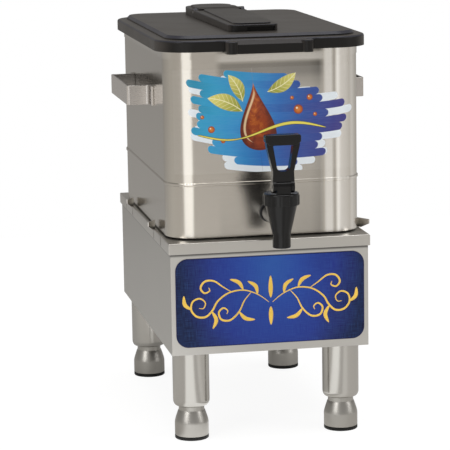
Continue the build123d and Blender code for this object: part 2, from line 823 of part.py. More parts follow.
# Tap body: tapered spout with a seat chamber and a threaded shank through the tank wall
spout_foot = shank_height - spout_drop
chamber_floor = shank_height - chamber_drop
boss_back_y = tank_front_y - washer_thickness
shank_end_y = tank_front_y + shank_length
with BuildPart() as tap_body:
    with BuildSketch(tap_level(spout_foot)):
        Circle(spout_radius)
    extrude(amount=spout_straight)
    with BuildSketch(tap_level(spout_foot + spout_straight)):
        Circle(spout_radius)
    with BuildSketch(tap_level(spout_top)):
        Circle(spout_top_radius)
    loft()
    with BuildSketch(facing_front(boss_back_y, tap_x, shank_height)):
        Circle(boss_radius)
    extrude(amount=boss_back_y - spout_y)
    with BuildSketch(tap_level(spout_top)):
        Circle(bonnet_radius + rest_gap)
    extrude(amount=bonnet_height, mode=Mode.SUBTRACT)
    with BuildSketch(tap_level(spout_top)):
        Circle(spigot_radius)
    extrude(amount=spigot_height)
    with BuildSketch(facing_front(shank_end_y, tap_x, shank_height)):
        Circle(shank_radius)
    extrude(amount=shank_end_y - boss_back_y)
    with BuildSketch(tap_level(chamber_floor)):
        Circle(chamber_radius)
    extrude(amount=spout_top + spigot_height - chamber_floor, mode=Mode.SUBTRACT)
    with BuildSketch(tap_level(spout_foot)):
        Circle(spout_bore)
    extrude(amount=chamber_floor - spout_foot, mode=Mode.SUBTRACT)
    with BuildSketch(facing_front(shank_end_y, tap_x, shank_height)):
        Circle(shank_bore)
    extrude(amount=shank_end_y - spout_y, mode=Mode.SUBTRACT)
    foot_edges = tap_body.edges().group_by(Axis.Z)[0].sort_by(SortBy.RADIUS)
    fillet(foot_edges[-1], radius=spout_foot_round)
tap_body.part.label = "tap_body"
export_step(tap_body.part, "parts/tap_body.step")

# Bonnet: ribbed cap over the chamber, with the stem's bore and a lug that fills the handle's fork
with BuildPart() as tap_bonnet:
    with BuildSketch(tap_level(spout_top)):
        Circle(bonnet_radius - bonnet_rib_radius / 2)
    extrude(amount=bonnet_height)
    fillet(tap_bonnet.edges().group_by(Axis.Z)[-1], radius=bonnet_round)
    with BuildSketch(tap_level(spout_top)):
        with PolarLocations(bonnet_radius - bonnet_rib_radius, bonnet_rib_count):
            Circle(bonnet_rib_radius)
    extrude(amount=bonnet_rib_height)
    with BuildSketch(facing_side(tap_x - lug_half_width, pivot_y, pivot_height)):
        Circle(lug_radius)
        with Locations((0, -(pivot_rise + joint_overlap) / 2)):
            Rectangle(2 * lug_radius, pivot_rise + joint_overlap)
    extrude(amount=2 * lug_half_width)
    with BuildSketch(facing_side(tap_x - lug_front_half, pivot_y, pivot_height)):
        Circle(lug_radius)
        with Locations((0, -(pivot_rise + joint_overlap) / 2)):
            Rectangle(2 * lug_radius, pivot_rise + joint_overlap)
        with Locations((lug_radius - lug_front_edge, 0)):
            Rectangle(2 * lug_radius, 4 * lug_radius, mode=Mode.SUBTRACT)
    extrude(amount=2 * lug_front_half)
    with BuildSketch(tap_level(spout_top)):
        Circle(spigot_radius + press_gap)
    extrude(amount=spigot_height + press_gap, mode=Mode.SUBTRACT)
    with BuildSketch(facing_side(tap_x - cheek_inner, pivot_y, pivot_height)):
        Circle(pivot_pin_radius + running_fit)
    extrude(amount=2 * cheek_inner, mode=Mode.SUBTRACT)
    with BuildSketch(tap_level(spout_top)):
        Circle(stem_radius + running_fit)
    extrude(amount=bonnet_height + 3 * pivot_rise, mode=Mode.SUBTRACT)
tap_bonnet.part.label = "tap_bonnet"
export_step(tap_bonnet.part, "parts/tap_bonnet.step")

# Tap handle: open grip on a fork that straddles the bonnet's lug
handle_back_y = pivot_y + handle_thickness / 2
grip_plane = facing_front(handle_back_y, tap_x, pivot_height)
bar_plane = facing_front(pivot_y + handle_bar_depth / 2, tap_x, pivot_height)
web_low = cheek_radius + rest_gap
bar_low = handle_bar_top - handle_bar_height
with BuildPart() as tap_handle:
    with BuildSketch(bar_plane) as bar_face:
        with BuildLine():
            Polyline(
                (-handle_bar_half + handle_bar_cut, bar_low),
                (-handle_bar_half, bar_low + handle_bar_cut),
                (-handle_bar_half, handle_bar_top),
                (handle_bar_half, handle_bar_top),
                (handle_bar_half, bar_low + handle_bar_cut),
                (handle_bar_half - handle_bar_cut, bar_low),
                close=True,
            )
        make_face()
        fillet(bar_face.vertices(), radius=handle_bar_round)
    extrude(amount=handle_bar_depth)
    bar_sides = tap_handle.faces().sort_by(Axis.Y)
    fillet(bar_sides[0].edges() + bar_sides[-1].edges(), radius=handle_bar_round / 2)
    with BuildSketch(grip_plane):
        with BuildLine():
            Polyline(
                (-cheek_outer, 0),
                (-cheek_outer, web_low),
                (-handle_neck_half, handle_neck_rise),
                (-handle_arm_half, handle_arm_rise),
                (-handle_arm_half, handle_bar_top - handle_bar_height / 2),
                (handle_arm_half, handle_bar_top - handle_bar_height / 2),
                (handle_arm_half, handle_arm_rise),
                (handle_neck_half, handle_neck_rise),
                (cheek_outer, web_low),
                (cheek_outer, 0),
                close=True,
            )
        make_face()
    extrude(amount=handle_thickness)
    with BuildSketch(bar_plane) as hole_face:
        with BuildLine():
            Polyline(
                (-handle_hole_half, handle_hole_top),
                (-handle_hole_low_half, handle_hole_bottom),
                (handle_hole_low_half, handle_hole_bottom),
                (handle_hole_half, handle_hole_top),
                close=True,
            )
        make_face()
        low_corners = hole_face.vertices().group_by(Axis.Y)[0]
        fillet(low_corners, radius=handle_hole_round)
        top_corners = hole_face.vertices().group_by(Axis.Y)[-1]
        fillet(top_corners, radius=handle_bar_round / 2)
    extrude(amount=handle_bar_depth, mode=Mode.SUBTRACT)
    with BuildSketch(facing_side(tap_x - cheek_outer, pivot_y, pivot_height)):
        Circle(cheek_radius)
    extrude(amount=2 * cheek_outer)
    with BuildSketch(facing_side(tap_x - cheek_inner, pivot_y, pivot_height)):
        Circle(web_low)
        with Locations((0, -web_low)):
            Rectangle(2 * web_low, 2 * web_low)
    extrude(amount=2 * cheek_inner, mode=Mode.SUBTRACT)
    finger_top = pivot_height + finger_low + finger_height
    finger_front_y = pivot_y + finger_front
    finger_back_y = spout_y + finger_back
    finger_mid_y = (finger_front_y + finger_back_y) / 2
    finger_outer = cheek_inner + finger_root
    with BuildSketch(Plane((tap_x, finger_mid_y, pivot_height + finger_low))):
        for side in (-1, 1):
            with Locations((side * (finger_inner + finger_outer) / 2, 0)):
                Rectangle(finger_outer - finger_inner, finger_back_y - finger_front_y)
    extrude(amount=finger_height)
    with BuildSketch(facing_side(tap_x - cheek_outer, pivot_y, pivot_height)):
        Circle(pivot_pin_radius + press_gap)
    extrude(amount=2 * cheek_outer, mode=Mode.SUBTRACT)
tap_handle.part.label = "tap_handle"
export_step(tap_handle.part, "parts/tap_handle.step")

# Pivot pin of the tap handle
with BuildPart() as handle_pin:
    pin_half = cheek_outer + handle_pin_proud
    with BuildSketch(facing_side(tap_x - pin_half, pivot_y, pivot_height)):
        Circle(pivot_pin_radius)
    extrude(amount=2 * pin_half)
handle_pin.part.label = "handle_pin"
export_step(handle_pin.part, "parts/handle_pin.step")

# Stem with its T head, and the soft seat cup on its foot
stem_head_low = pivot_height + finger_low + finger_height + rest_gap
cup_top = chamber_floor + seat_cup_height
stem_foot = cup_top - seat_cup_socket
collar_top = cup_top + stem_collar_height
with BuildPart() as tap_stem:
    with BuildSketch(tap_level(stem_foot)):
        Circle(stem_radius)
    extrude(amount=stem_head_low - stem_foot)
    with BuildSketch(tap_level(cup_top)):
        Circle(stem_collar_radius)
    extrude(amount=stem_collar_height)
    with BuildSketch(tap_level(stem_head_low)):
        Rectangle(2 * stem_head_half, stem_head_depth)
    extrude(amount=stem_head_height)
tap_stem.part.label = "tap_stem"
export_step(tap_stem.part, "parts/tap_stem.step")

with BuildPart() as seat_cup:
    with BuildSketch(tap_level(chamber_floor)):
        Circle(seat_cup_radius)
    extrude(amount=seat_cup_height)
    chamfer(seat_cup.edges().group_by(Axis.Z)[-1], seat_cup_edge)
    with BuildSketch(tap_level(stem_foot)):
        Circle(stem_radius + press_gap)
    extrude(amount=seat_cup_socket, mode=Mode.SUBTRACT)
seat_cup.part.label = "seat_cup"
export_step(seat_cup.part, "parts/seat_cup.step")

# Return spring between the stem's collar and the bonnet
spring_low = collar_top + spring_wire + press_gap
spring_high = spout_top + spigot_height - spring_wire
spring_pitch = (spring_high - spring_low) / spring_turns
with BuildPart() as tap_spring:
    with BuildLine(tap_level(spring_low)) as spring_line:
        Helix(spring_pitch, spring_high - spring_low, spring_radius)
    with BuildSketch(spring_line.line ^ 0):
        Circle(spring_wire)
    sweep(is_frenet=True)
tap_spring.part.label = "tap_spring"
export_step(tap_spring.part, "parts/tap_spring.step")

# Washers on both sides of the tank wall and the wing nut inside
for name, washer_y, washer_radius in (
    ("outer_washer", tank_front_y, outer_washer_radius),
    ("inner_washer", tank_front_y + tank_sheet + washer_thickness, wing_hub_radius),
):
    with BuildPart() as washer:
        with BuildSketch(facing_front(washer_y, tap_x, shank_height)):
            Circle(washer_radius)
            Circle(shank_radius + running_fit, mode=Mode.SUBTRACT)
        extrude(amount=washer_thickness)
    washer.part.label = name
    export_step(washer.part, f"parts/{name}.step")

with BuildPart() as wing_nut:
    nut_back_y = tank_front_y + tank_sheet + washer_thickness + wing_nut_length
    with BuildSketch(facing_front(nut_back_y, tap_x, shank_height)):
        Circle(wing_hub_radius)
        SlotOverall(wing_span, wing_height)
        Circle(shank_radius + running_fit, mode=Mode.SUBTRACT)
    extrude(amount=wing_nut_length)
wing_nut.part.label = "wing_nut"
export_step(wing_nut.part, "parts/wing_nut.step")
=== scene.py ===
import json
import math

import bmesh
import bpy
from mathutils import Matrix, Vector

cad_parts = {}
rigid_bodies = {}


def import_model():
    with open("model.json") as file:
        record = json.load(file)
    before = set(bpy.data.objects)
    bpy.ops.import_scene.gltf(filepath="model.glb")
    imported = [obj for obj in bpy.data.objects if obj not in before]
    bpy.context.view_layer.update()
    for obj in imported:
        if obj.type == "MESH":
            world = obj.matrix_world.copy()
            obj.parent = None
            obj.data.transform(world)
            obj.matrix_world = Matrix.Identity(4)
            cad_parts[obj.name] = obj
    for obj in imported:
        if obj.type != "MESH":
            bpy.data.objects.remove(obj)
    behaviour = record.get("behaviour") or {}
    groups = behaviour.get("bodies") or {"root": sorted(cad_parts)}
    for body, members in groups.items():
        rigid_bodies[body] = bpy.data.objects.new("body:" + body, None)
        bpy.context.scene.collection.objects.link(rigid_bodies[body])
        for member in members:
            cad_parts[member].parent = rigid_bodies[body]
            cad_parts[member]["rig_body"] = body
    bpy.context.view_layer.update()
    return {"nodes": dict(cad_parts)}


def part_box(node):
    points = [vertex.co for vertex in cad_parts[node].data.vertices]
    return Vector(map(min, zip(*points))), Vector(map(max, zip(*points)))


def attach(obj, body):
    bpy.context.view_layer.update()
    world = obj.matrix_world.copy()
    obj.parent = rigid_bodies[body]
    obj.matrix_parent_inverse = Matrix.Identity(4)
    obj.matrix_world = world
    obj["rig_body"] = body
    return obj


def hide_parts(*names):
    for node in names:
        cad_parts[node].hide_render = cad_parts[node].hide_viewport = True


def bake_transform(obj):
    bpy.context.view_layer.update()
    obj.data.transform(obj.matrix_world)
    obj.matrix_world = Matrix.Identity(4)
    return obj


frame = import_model()
print("frame loaded:", len(frame["nodes"]), "nodes")

mm = 0.001
perMetre = 1000.0                            # mm to the metre, for what is drawn in mm


def tone(red, green, blue):
    # a screen colour, 0 to 255, as the linear colour a shader takes
    return tuple(((c / 255 + 0.055) / 1.055) ** 2.4 for c in (red, green, blue))


def shade(tint, level):
    return [c * level for c in tint]


def grey(stops):
    return [(place, (level, level, level)) for place, level in stops]


class Sock:
    # a node's output that takes part in sums; numbers stay numbers until they meet one
    def __init__(self, owner, socket):
        self.owner = owner
        self.socket = socket

    def calc(self, operation, *others, first=True):
        values = [self, *others] if first else [*others, self]
        return self.owner.node("ShaderNodeMath", {"operation": operation}, dict(enumerate(values)))

    def __add__(self, other):
        return self.calc("ADD", other)

    def __radd__(self, other):
        return self.calc("ADD", other)

    def __sub__(self, other):
        return self.calc("SUBTRACT", other)

    def __rsub__(self, other):
        return self.calc("SUBTRACT", other, first=False)

    def __mul__(self, other):
        return self.calc("MULTIPLY", other)

    def __rmul__(self, other):
        return self.calc("MULTIPLY", other)

    def __truediv__(self, other):
        return self.calc("DIVIDE", other)

    def __rtruediv__(self, other):
        return self.calc("DIVIDE", other, first=False)

    def size(self):
        return self.calc("ABSOLUTE")

    def root(self):
        return self.calc("MAXIMUM", 0.0).calc("SQRT")

    def wave(self):
        return self.calc("SINE")

    def least(self, other):
        return self.calc("MINIMUM", other)

    def most(self, other):
        return self.calc("MAXIMUM", other)

    def rise(self, low, high):
        # 0 below low, 1 above high, smooth between
        settings = {"interpolation_type": "SMOOTHSTEP"}
        values = {"Value": self, "From Min": low, "From Max": high}
        return self.owner.node("ShaderNodeMapRange", settings, values)

    def fall(self, low, high):
        return 1.0 - self.rise(low, high)


def opaque(colour):
    # a plain colour gets its alpha; a linked one stays as it is
    return colour if isinstance(colour, Sock) else (*colour, 1.0)


class Tree:
    # any node tree; node() adds a node with its settings and inputs and hands back one output
    def node(self, kind, settings=None, inputs=None, output=0):
        made = self.tree.nodes.new(kind)
        for key, value in (settings or {}).items():
            if key == "stops":
                ramp = made.color_ramp.elements
                while len(ramp) < len(value):
                    ramp.new(0.5)
                for stop, (place, colour) in zip(ramp, value):
                    stop.position = place
                    stop.color = opaque(colour)
            else:
                setattr(made, key, value)
        for key, value in (inputs or {}).items():
            if isinstance(value, Sock):
                self.tree.links.new(value.socket, made.inputs[key])
            else:
                made.inputs[key].default_value = value
        return Sock(self, made.outputs[output])

    def vector(self, x, y, z):
        return self.node("ShaderNodeCombineXYZ", inputs={0: x, 1: y, 2: z})

    def axes(self, vector):
        parts = self.node("ShaderNodeSeparateXYZ", inputs={0: vector}).socket.node.outputs
        return [Sock(self, part) for part in parts]


class Finish(Tree):
    # one material, with what the finishes here use often
    outlet = "ShaderNodeOutputMaterial"

    def __init__(self, name):
        self.data = bpy.data.materials.new(name)
        self.data.use_nodes = True
        self.tree = self.data.node_tree
        self.tree.nodes.clear()

    def place(self):
        return self.node("ShaderNodeTexCoord", output="Object")

    def noise(self, vector, scale, detail=3.0, rough=0.55, distort=0.0):
        values = {"Vector": vector, "Scale": scale, "Detail": detail, "Roughness": rough}
        values["Distortion"] = distort
        return self.node("ShaderNodeTexNoise", {}, values)

    def stretched(self, x, y, z):
        px, py, pz = self.axes(self.place())
        return self.vector(px * x, py * y, pz * z)

    def mix(self, factor, a, b):
        values = {0: factor, 6: opaque(a), 7: opaque(b)}       # the sockets for two colours
        return self.node("ShaderNodeMix", {"data_type": "RGBA"}, values, 2)

    def ramp(self, factor, stops):
        return self.node("ShaderNodeValToRGB", {"stops": stops}, {0: factor})

    def rays(self, *names):
        outputs = self.node("ShaderNodeLightPath").socket.node.outputs
        return [Sock(self, outputs[name]) for name in names]

    def chance(self, number):
        # a fixed pseudo-random value, 0 to 1, for each whole number
        return self.node("ShaderNodeTexWhiteNoise", {"noise_dimensions": "1D"}, {"W": number})

    def surround(self, x, y):
        # what stands round the object in the direction x, y
        bearing = x.calc("ARCTAN2", y) / (2 * math.pi)      # 0 behind, +-0.5 in front
        return self.ramp(1.0 - (bearing + 1.0).calc("FRACT"), studio["surround"])

    def bump(self, height, strength, depth):
        values = {"Height": height, "Strength": strength, "Distance": depth}
        return self.node("ShaderNodeBump", {}, values)

    def shader(self, **inputs):
        named = {key.replace("_", " "): value for key, value in inputs.items()}
        return self.node("ShaderNodeBsdfPrincipled", {}, named)

    def done(self, surface):
        out = self.tree.nodes.new(self.outlet)
        self.tree.links.new(surface.socket, out.inputs["Surface"])
        return self.data


class Growth(Tree):
    # a Geometry Nodes tree; given names its inputs, each with a socket kind and a first value
    def __init__(self, name, given):
        self.tree = bpy.data.node_groups.new(name, "GeometryNodeTree")
        face = self.tree.interface
        face.new_socket("Geometry", in_out="INPUT", socket_type="NodeSocketGeometry")
        for key, (kind, value) in given.items():
            entry = face.new_socket(key, in_out="INPUT", socket_type="NodeSocket" + kind)
            entry.default_value = value
        face.new_socket("Geometry", in_out="OUTPUT", socket_type="NodeSocketGeometry")
        self.entry = self.tree.nodes.new("NodeGroupInput")

    def given(self, name):
        return Sock(self, self.entry.outputs[name])

    def closed(self, geometry, finish):
        real = self.node("GeometryNodeRealizeInstances", {}, {"Geometry": geometry})
        real = self.node("GeometryNodeSetMaterial", {}, {"Geometry": real, "Material": finish})
        out = self.tree.nodes.new("NodeGroupOutput")
        self.tree.links.new(real.socket, out.inputs[0])
        return self.tree


# Brushed steel: fine lines and soft clouds in its colour, roughness and bump
brushing = {
    "clouds": 9.0,                           # clouds to the metre
    "dark": 0.91, "light": 1.07,
    "lineShare": 0.45, "cloudShare": 0.55,
    "roughShare": 0.06,
    "bump": 0.30, "depth": 0.10 * mm,
    "paintedLightColour": (0.95, 0.93, 0.90),            # the colour that painted highlights and painted reflections lighten towards
    # how fast the lines change along x, y and z
    "around": (5.0, 5.0, 1900.0),            # level round the walls
    "along": (1700.0, 6.0, 1700.0),          # front to back
    "turned": (4.0, 4.0, 2600.0),            # round a turned piece
}


def steelLook(m, tint, rough, lineWay, bump=1.0):
    lines = m.noise(m.stretched(*brushing[lineWay]), 1.0, 3.0, 0.6)
    clouds = m.noise(m.place(), brushing["clouds"], 3.0, 0.5)
    light = [min(c, 1.0) for c in shade(tint, brushing["light"])]
    spread = lines * brushing["lineShare"] + clouds * brushing["cloudShare"]
    colour = m.mix(spread, shade(tint, brushing["dark"]), light)
    share = brushing["roughShare"]
    roughness = lines * share + clouds * share + (rough - share)
    return colour, roughness, m.bump(lines, brushing["bump"] * bump, brushing["depth"])


def paintLightAndShade(m, colour, paintedLightAndShade):
    # the given function tells how much painted shade and how much painted light each place gets
    dark, light = paintedLightAndShade(m)
    return m.mix(light, m.mix(dark, colour, (0.0, 0.0, 0.0)), brushing["paintedLightColour"])


def brushedSteel(name, tint, rough, lineWay, bump=1.0, paintedLightAndShade=None):
    m = Finish(name)
    colour, roughness, normal = steelLook(m, tint, rough, lineWay, bump)
    if paintedLightAndShade:
        colour = paintLightAndShade(m, colour, paintedLightAndShade)
    return m.done(m.shader(Base_Color=colour, Roughness=roughness, Metallic=1.0, Normal=normal))


# Painted reflections on the tank: soft upright and level bands of painted highlight and painted
# shade, and a painted shadow under the lid
tankPaintedLight = {
    "front": -0.135, "turn": 30.0 * mm,      # where the front is, and how soon it is a side
    "acrossScale": 4.0, "foot": 0.23, "upScale": 4.5,
    "middle": 0.0065, "half": 0.0615, "fade": (-8.0 * mm, 3.0 * mm),
    "drift": (9.0, 9.0, 5.0), "driftLeast": 0.75, "driftShare": 0.5,
    # how much painted shade and painted highlight the front gets, from its left to its right
    "darkAcross": grey([
        (0.00, 0.16), (0.09, 0.12), (0.14, 0.0), (0.20, 0.0), (0.26, 0.03), (0.50, 0.07),
        (0.70, 0.20), (0.715, 0.25), (0.742, 0.34), (0.758, 0.20), (0.770, 0.0), (0.798, 0.0),
        (0.811, 0.24), (0.822, 0.0), (0.91, 0.0), (0.95, 0.08),
    ]),
    "lightAcross": grey([
        (0.00, 0.0), (0.762, 0.0), (0.775, 0.60), (0.797, 0.60), (0.808, 0.0), (0.816, 0.0),
        (0.827, 0.85), (0.847, 0.65), (0.870, 0.45), (0.885, 0.30), (0.897, 0.85),
        (0.915, 0.60), (0.94, 0.14), (1.0, 0.10),
    ]),
    # the same from the tank's foot to its rim, with the painted shadow under the lid, and a
    # painted highlight under the lid on its sides
    "darkUp": grey([
        (0.00, 0.12), (0.12, 0.06), (0.30, 0.0), (0.74, 0.0), (0.785, 0.15), (0.815, 0.34),
        (0.860, 0.38), (0.880, 0.0), (0.912, 0.0), (0.928, 0.50), (0.94, 0.65),
    ]),
    "lightUp": grey([(0.00, 0.0), (0.870, 0.0), (0.882, 0.34), (0.904, 0.30), (0.918, 0.0)]),
    "sideUp": grey([(0.00, 0.0), (0.885, 0.0), (0.905, 0.28), (0.93, 0.34), (0.935, 0.0)]),
}


def paintTankLight(m):
    # painted reflections: bands of painted highlight and painted shade on the front, a painted
    # highlight on the sides
    x, y, z = m.axes(m.place())
    across, upward = x * tankPaintedLight["acrossScale"] + 0.5, (z - tankPaintedLight["foot"]) * tankPaintedLight["upScale"]
    front = (y - tankPaintedLight["front"]).fall(0.0, tankPaintedLight["turn"])
    inner, outer = [tankPaintedLight["half"] + edge for edge in tankPaintedLight["fade"]]
    middle = (x - tankPaintedLight["middle"]).size().fall(inner, outer)
    dark = m.ramp(across, tankPaintedLight["darkAcross"]) + m.ramp(upward, tankPaintedLight["darkUp"]) * middle
    light = m.ramp(across, tankPaintedLight["lightAcross"]) + m.ramp(upward, tankPaintedLight["lightUp"]) * middle
    drift = m.noise(m.stretched(*tankPaintedLight["drift"]), 1.0, 3.0, 0.5)
    sideLight = m.ramp(upward, tankPaintedLight["sideUp"]) * (1.0 - front)
    dark = dark * (drift * tankPaintedLight["driftShare"] + tankPaintedLight["driftLeast"])
    return dark * front, light * front + sideLight


# Painted shade on the grips' strap: inside its loop, and a lighter painted shade on its ends
gripShade = {
    "reach": 0.1385, "middle": 0.034, "half": 0.065,
    "edge": (-1.6 * mm, -0.6 * mm),
    "loopShade": 0.72, "ends": 0.40,
}


def gripPaintedShade(m):
    x, y, _ = m.axes(m.place())
    # painted shade inside the loop and on the strap's ends
    inner = (x.size() - gripShade["reach"]).fall(*gripShade["edge"])
    between = ((y - gripShade["middle"]).size() - gripShade["half"]).fall(*gripShade["edge"])
    return (inner * between * gripShade["loopShade"]).most(inner * gripShade["ends"]), 0.0


# Painted shadow on the stand's sheets in the gap under the deck; painted light on its side lips
# and ears
lip = {
    "gap": (0.2118, 0.2148), "gapDark": 0.75,
    "side": (0.1131, 0.1136), "sideLight": 0.30,
    "ear": (0.2288, 0.2298), "earLight": 0.34,
}


def shadowUnderLip(m):
    # a painted shadow just under the deck's lip
    height = m.axes(m.place())[2]
    return height.rise(*lip["gap"]) * lip["gapDark"], 0.0


def lipPaintedLight(m):
    # painted light on the side lips and on the ears
    x, _, z = m.axes(m.place())
    side = x.size().rise(*lip["side"]) * lip["sideLight"]
    return 0.0, side + z.rise(*lip["ear"]) * lip["earLight"]


tankTint, tankRough = (0.60, 0.565, 0.51), 0.19
steels = {
    # tint, roughness, which way the lines run, their bump, the painted light and shade on it
    "tankSteel": (tankTint, tankRough, "around", 1.0, paintTankLight),
    "baseSteel": ((0.62, 0.585, 0.53), tankRough, "around", 1.0, paintTankLight),
    "sheetSteel": ((0.60, 0.585, 0.555), 0.36, "around", 0.6, shadowUnderLip),
    "deckSteel": ((0.56, 0.54, 0.505), 0.34, "along", 0.6, lipPaintedLight),
    "legSteel": ((0.52, 0.505, 0.475), 0.17, "turned"),
    "footSteel": ((0.46, 0.445, 0.415), 0.38, "turned", 0.5),
    "gripSteel": ((0.82, 0.77, 0.73), 0.26, "around", 0.6, gripPaintedShade),
    "fixingSteel": ((0.56, 0.55, 0.53), 0.30, "turned"),
}
finishes = {name: brushedSteel(name, *given) for name, given in steels.items()}

# Moulded plastic, rubber and ink: a fine grain, and marks of handling
moulding = {
    "marks": 14.0,                           # marks to the metre
    "dark": 0.82, "light": 1.25,
    "markShare": 0.16, "grainShare": 0.06, "roughMiddle": 0.11,
    "bump": 0.35,
}
plastics = {
    # tint, roughness, grains to the metre, their depth, gloss
    "tapPlastic": ((0.0046, 0.0042, 0.0043), 0.24, 900.0, 0.02 * mm, 0.30),
    "nutPlastic": ((0.020, 0.020, 0.021), 0.45, 1500.0, 0.05 * mm, 0.4),
    "padRubber": ((0.005, 0.005, 0.005), 0.5, 3000.0, 0.1 * mm, 0.3),
    "sealRubber": ((0.68, 0.66, 0.60), 0.55, 2500.0, 0.06 * mm, 0.4),
    "darkRubber": ((0.016, 0.016, 0.017), 0.5, 2500.0, 0.05 * mm, 0.4),
    "inkYellow": (tone(246, 202, 84), 0.42, 1400.0, 0.02 * mm, 0.5),
}


def mouldedLook(m, rough, grainScale, grainDepth):
    grain = m.noise(m.place(), grainScale, 3.0, 0.6)
    marks = m.noise(m.place(), moulding["marks"], 4.0, 0.6)
    roughness = marks * moulding["markShare"] + grain * moulding["grainShare"]
    roughness = roughness + (rough - moulding["roughMiddle"])
    return marks, roughness, m.bump(grain, moulding["bump"], grainDepth)


def mouldedPlastic(name, tint, rough, grainScale, grainDepth, gloss):
    m = Finish(name)
    marks, roughness, normal = mouldedLook(m, rough, grainScale, grainDepth)
    colour = m.mix(marks, shade(tint, moulding["dark"]), shade(tint, moulding["light"]))
    surface = m.shader(
        Base_Color=colour, Roughness=roughness, Normal=normal, Specular_IOR_Level=gloss,
    )
    return m.done(surface)


# The lid's top is painted paler, as a painted sheen of light from above, and its front and back
# walls painted darker; its left and right walls carry painted light, its slanted edges a bluish
# painted reflection, and the raised cover's top is painted darker
lidToneAndPaintedLight = {
    "tint": (0.019, 0.0165, 0.0145), "rough": 0.38, "gloss": 0.22,
    "grain": 2600.0, "grainDepth": 0.06 * mm,
    "top": (1.7, 2.5), "wall": 0.40, "sideWall": 2.6,
    "slant": (0.036, 0.036, 0.047), "slantShare": 0.8,
    "cover": 0.7, "coverShare": 0.6, "coverHeight": (0.4575, 0.4585),
    # how far a face looks up or to the side where each of these begins and is full
    "flat": (0.80, 0.98), "slantFrom": (0.20, 0.45), "slantTo": (0.85, 0.95),
    "sideways": (0.55, 0.98),
}


def lidPaintedLook(name):
    m = Finish(name)
    look, tint = lidToneAndPaintedLight, lidToneAndPaintedLight["tint"]
    marks, roughness, normal = mouldedLook(m, look["rough"], look["grain"], look["grainDepth"])
    faceX, _, faceZ = m.axes(m.node("ShaderNodeTexCoord", output="Normal"))
    # painted reflection on the slanted faces, painted light on the side walls, painted shade on
    # the front and back walls
    slant = faceZ.rise(*look["slantFrom"]) * faceZ.fall(*look["slantTo"])
    sideways = faceX.size().rise(*look["sideways"])
    wall = m.mix(sideways, shade(tint, look["wall"]), shade(tint, look["sideWall"]))
    wall = m.mix(slant * look["slantShare"], wall, look["slant"])
    # painted light on the top, with marks of handling
    top = m.mix(marks, *(shade(tint, level) for level in look["top"]))
    raised = m.axes(m.place())[2].rise(*look["coverHeight"])
    top = m.mix(raised * look["coverShare"], top, shade(tint, look["cover"]))
    surface = m.shader(
        Base_Color=m.mix(faceZ.rise(*look["flat"]), wall, top), Roughness=roughness,
        Normal=normal, Specular_IOR_Level=look["gloss"],
    )
    return m.done(surface)


finishes["lidPlastic"] = lidPaintedLook("lidPlastic")
for name, given in plastics.items():
    finishes[name] = mouldedPlastic(name, *given)

# Print on the tank's film, in mm from the film's middle: brush sweeps, a drop, leaves, bubbles
art = {
    "middle": (-4.0, 359.6),
    # rows of strokes: height of a row, reach up and to the sides, loose ends, bend and slope
    "pitch": 8.6, "tall": 51.0, "reach": 82.0, "jag": 30.0, "jagIn": 0.35,
    "bend": 9.0, "bendSpan": 90.0, "slope": 0.07,
    "bristles": (0.05, 2.6), "ragged": 1.4, "lastRows": (0.96, 1.02),
    "sweepSeed": 4.0, "splashSeed": 31.0, "splashGrow": 2.0,
    "splash": (5.0, -7.5),
    "sweep": [
        (0.00, tone(20, 140, 175)), (0.16, tone(40, 160, 205)), (0.36, tone(50, 150, 210)),
        (0.55, tone(38, 112, 190)), (0.72, tone(36, 78, 160)), (1.00, tone(52, 48, 132)),
    ],
    "sweepHalf": 92.0, "strokeTint": 0.09, "sweepLean": 0.0012,
    "streak": tone(225, 236, 246), "streakShare": 0.3,
    "white": tone(236, 243, 248),
    "edge": (-0.3, 0.3),
    "drop": {
        "place": (-6.0, 4.0), "half": 38.0, "wide": 20.5, "lean": -0.10,
        "clouds": 0.075, "flecks": 0.5, "fleckEdge": (0.62, 0.74),
        # how much the clouds, the rim, the flecks and the height change the tea's colour
        "shares": (0.9, 0.35, 0.2, 0.10),
        # the crescent lies between two smaller drops, each with its scale and shift
        "outer": (0.80, 0.0), "hollow": (0.84, 3.2),
        "glintEdge": (-0.6, 0.6), "glintSide": (-4.0, 0.0), "glintShare": 0.75,
    },
    "tea": [
        (0.00, tone(70, 24, 10)), (0.30, tone(112, 40, 16)), (0.52, tone(158, 66, 24)),
        (0.72, tone(206, 112, 40)), (1.00, tone(240, 178, 92)),
    ],
    "teaGlint": tone(255, 226, 178),
    "leaves": [
        # place, angle in degrees, half length, half width
        ((-40.0, 21.0), 158.0, 21.0, 8.6),
        ((-27.0, 37.0), 118.0, 17.0, 7.0),
        ((24.0, 38.0), 32.0, 19.0, 7.4),
    ],
    "leafDark": tone(158, 160, 52), "leafLight": tone(232, 222, 122),
    "leafBend": 0.16, "leafEdge": (-0.3, 0.2),
    "vein": tone(247, 242, 190), "veins": (1.15, 1.1), "veinEdge": (0.80, 0.98),
    "veinShare": 0.6, "midVein": (0.3, 0.75),
    "bubbles": [
        # place, radius
        ((41.0, 10.0), 5.2), ((54.0, 23.0), 3.4), ((60.0, 4.0), 2.3), ((34.0, 23.0), 2.2),
        ((-57.0, -9.0), 3.8), ((-67.0, 5.0), 2.2), ((-44.0, -22.0), 2.6),
    ],
    "bubble": [
        (0.0, tone(226, 140, 56)), (0.75, tone(190, 92, 30)), (1.0, tone(128, 52, 18)),
    ],
    "bubbleEdge": 0.25, "bubbleGlint": tone(255, 236, 200),
    "glintAside": 0.3, "glintSize": (0.12, 0.3),             # in shares of the radius
    "ribbon": {
        "low": -13.0, "rise": 6.5, "step": 21.0, "reach": 73.0, "thick": 1.7,
        "slope": 0.05, "edge": 0.5, "soft": (-0.15, 0.15), "tips": (0.97, 1.0),
        "swellStart": 0.6, "swellShare": 0.7, "swellLeast": 0.3,
    },
    "ribbonTone": tone(240, 224, 96), "ribbonEdge": tone(60, 60, 30),
    "metal": 0.85, "rough": 0.34, "coat": 0.15, "coatRough": 0.16, "haze": 0.05,
}


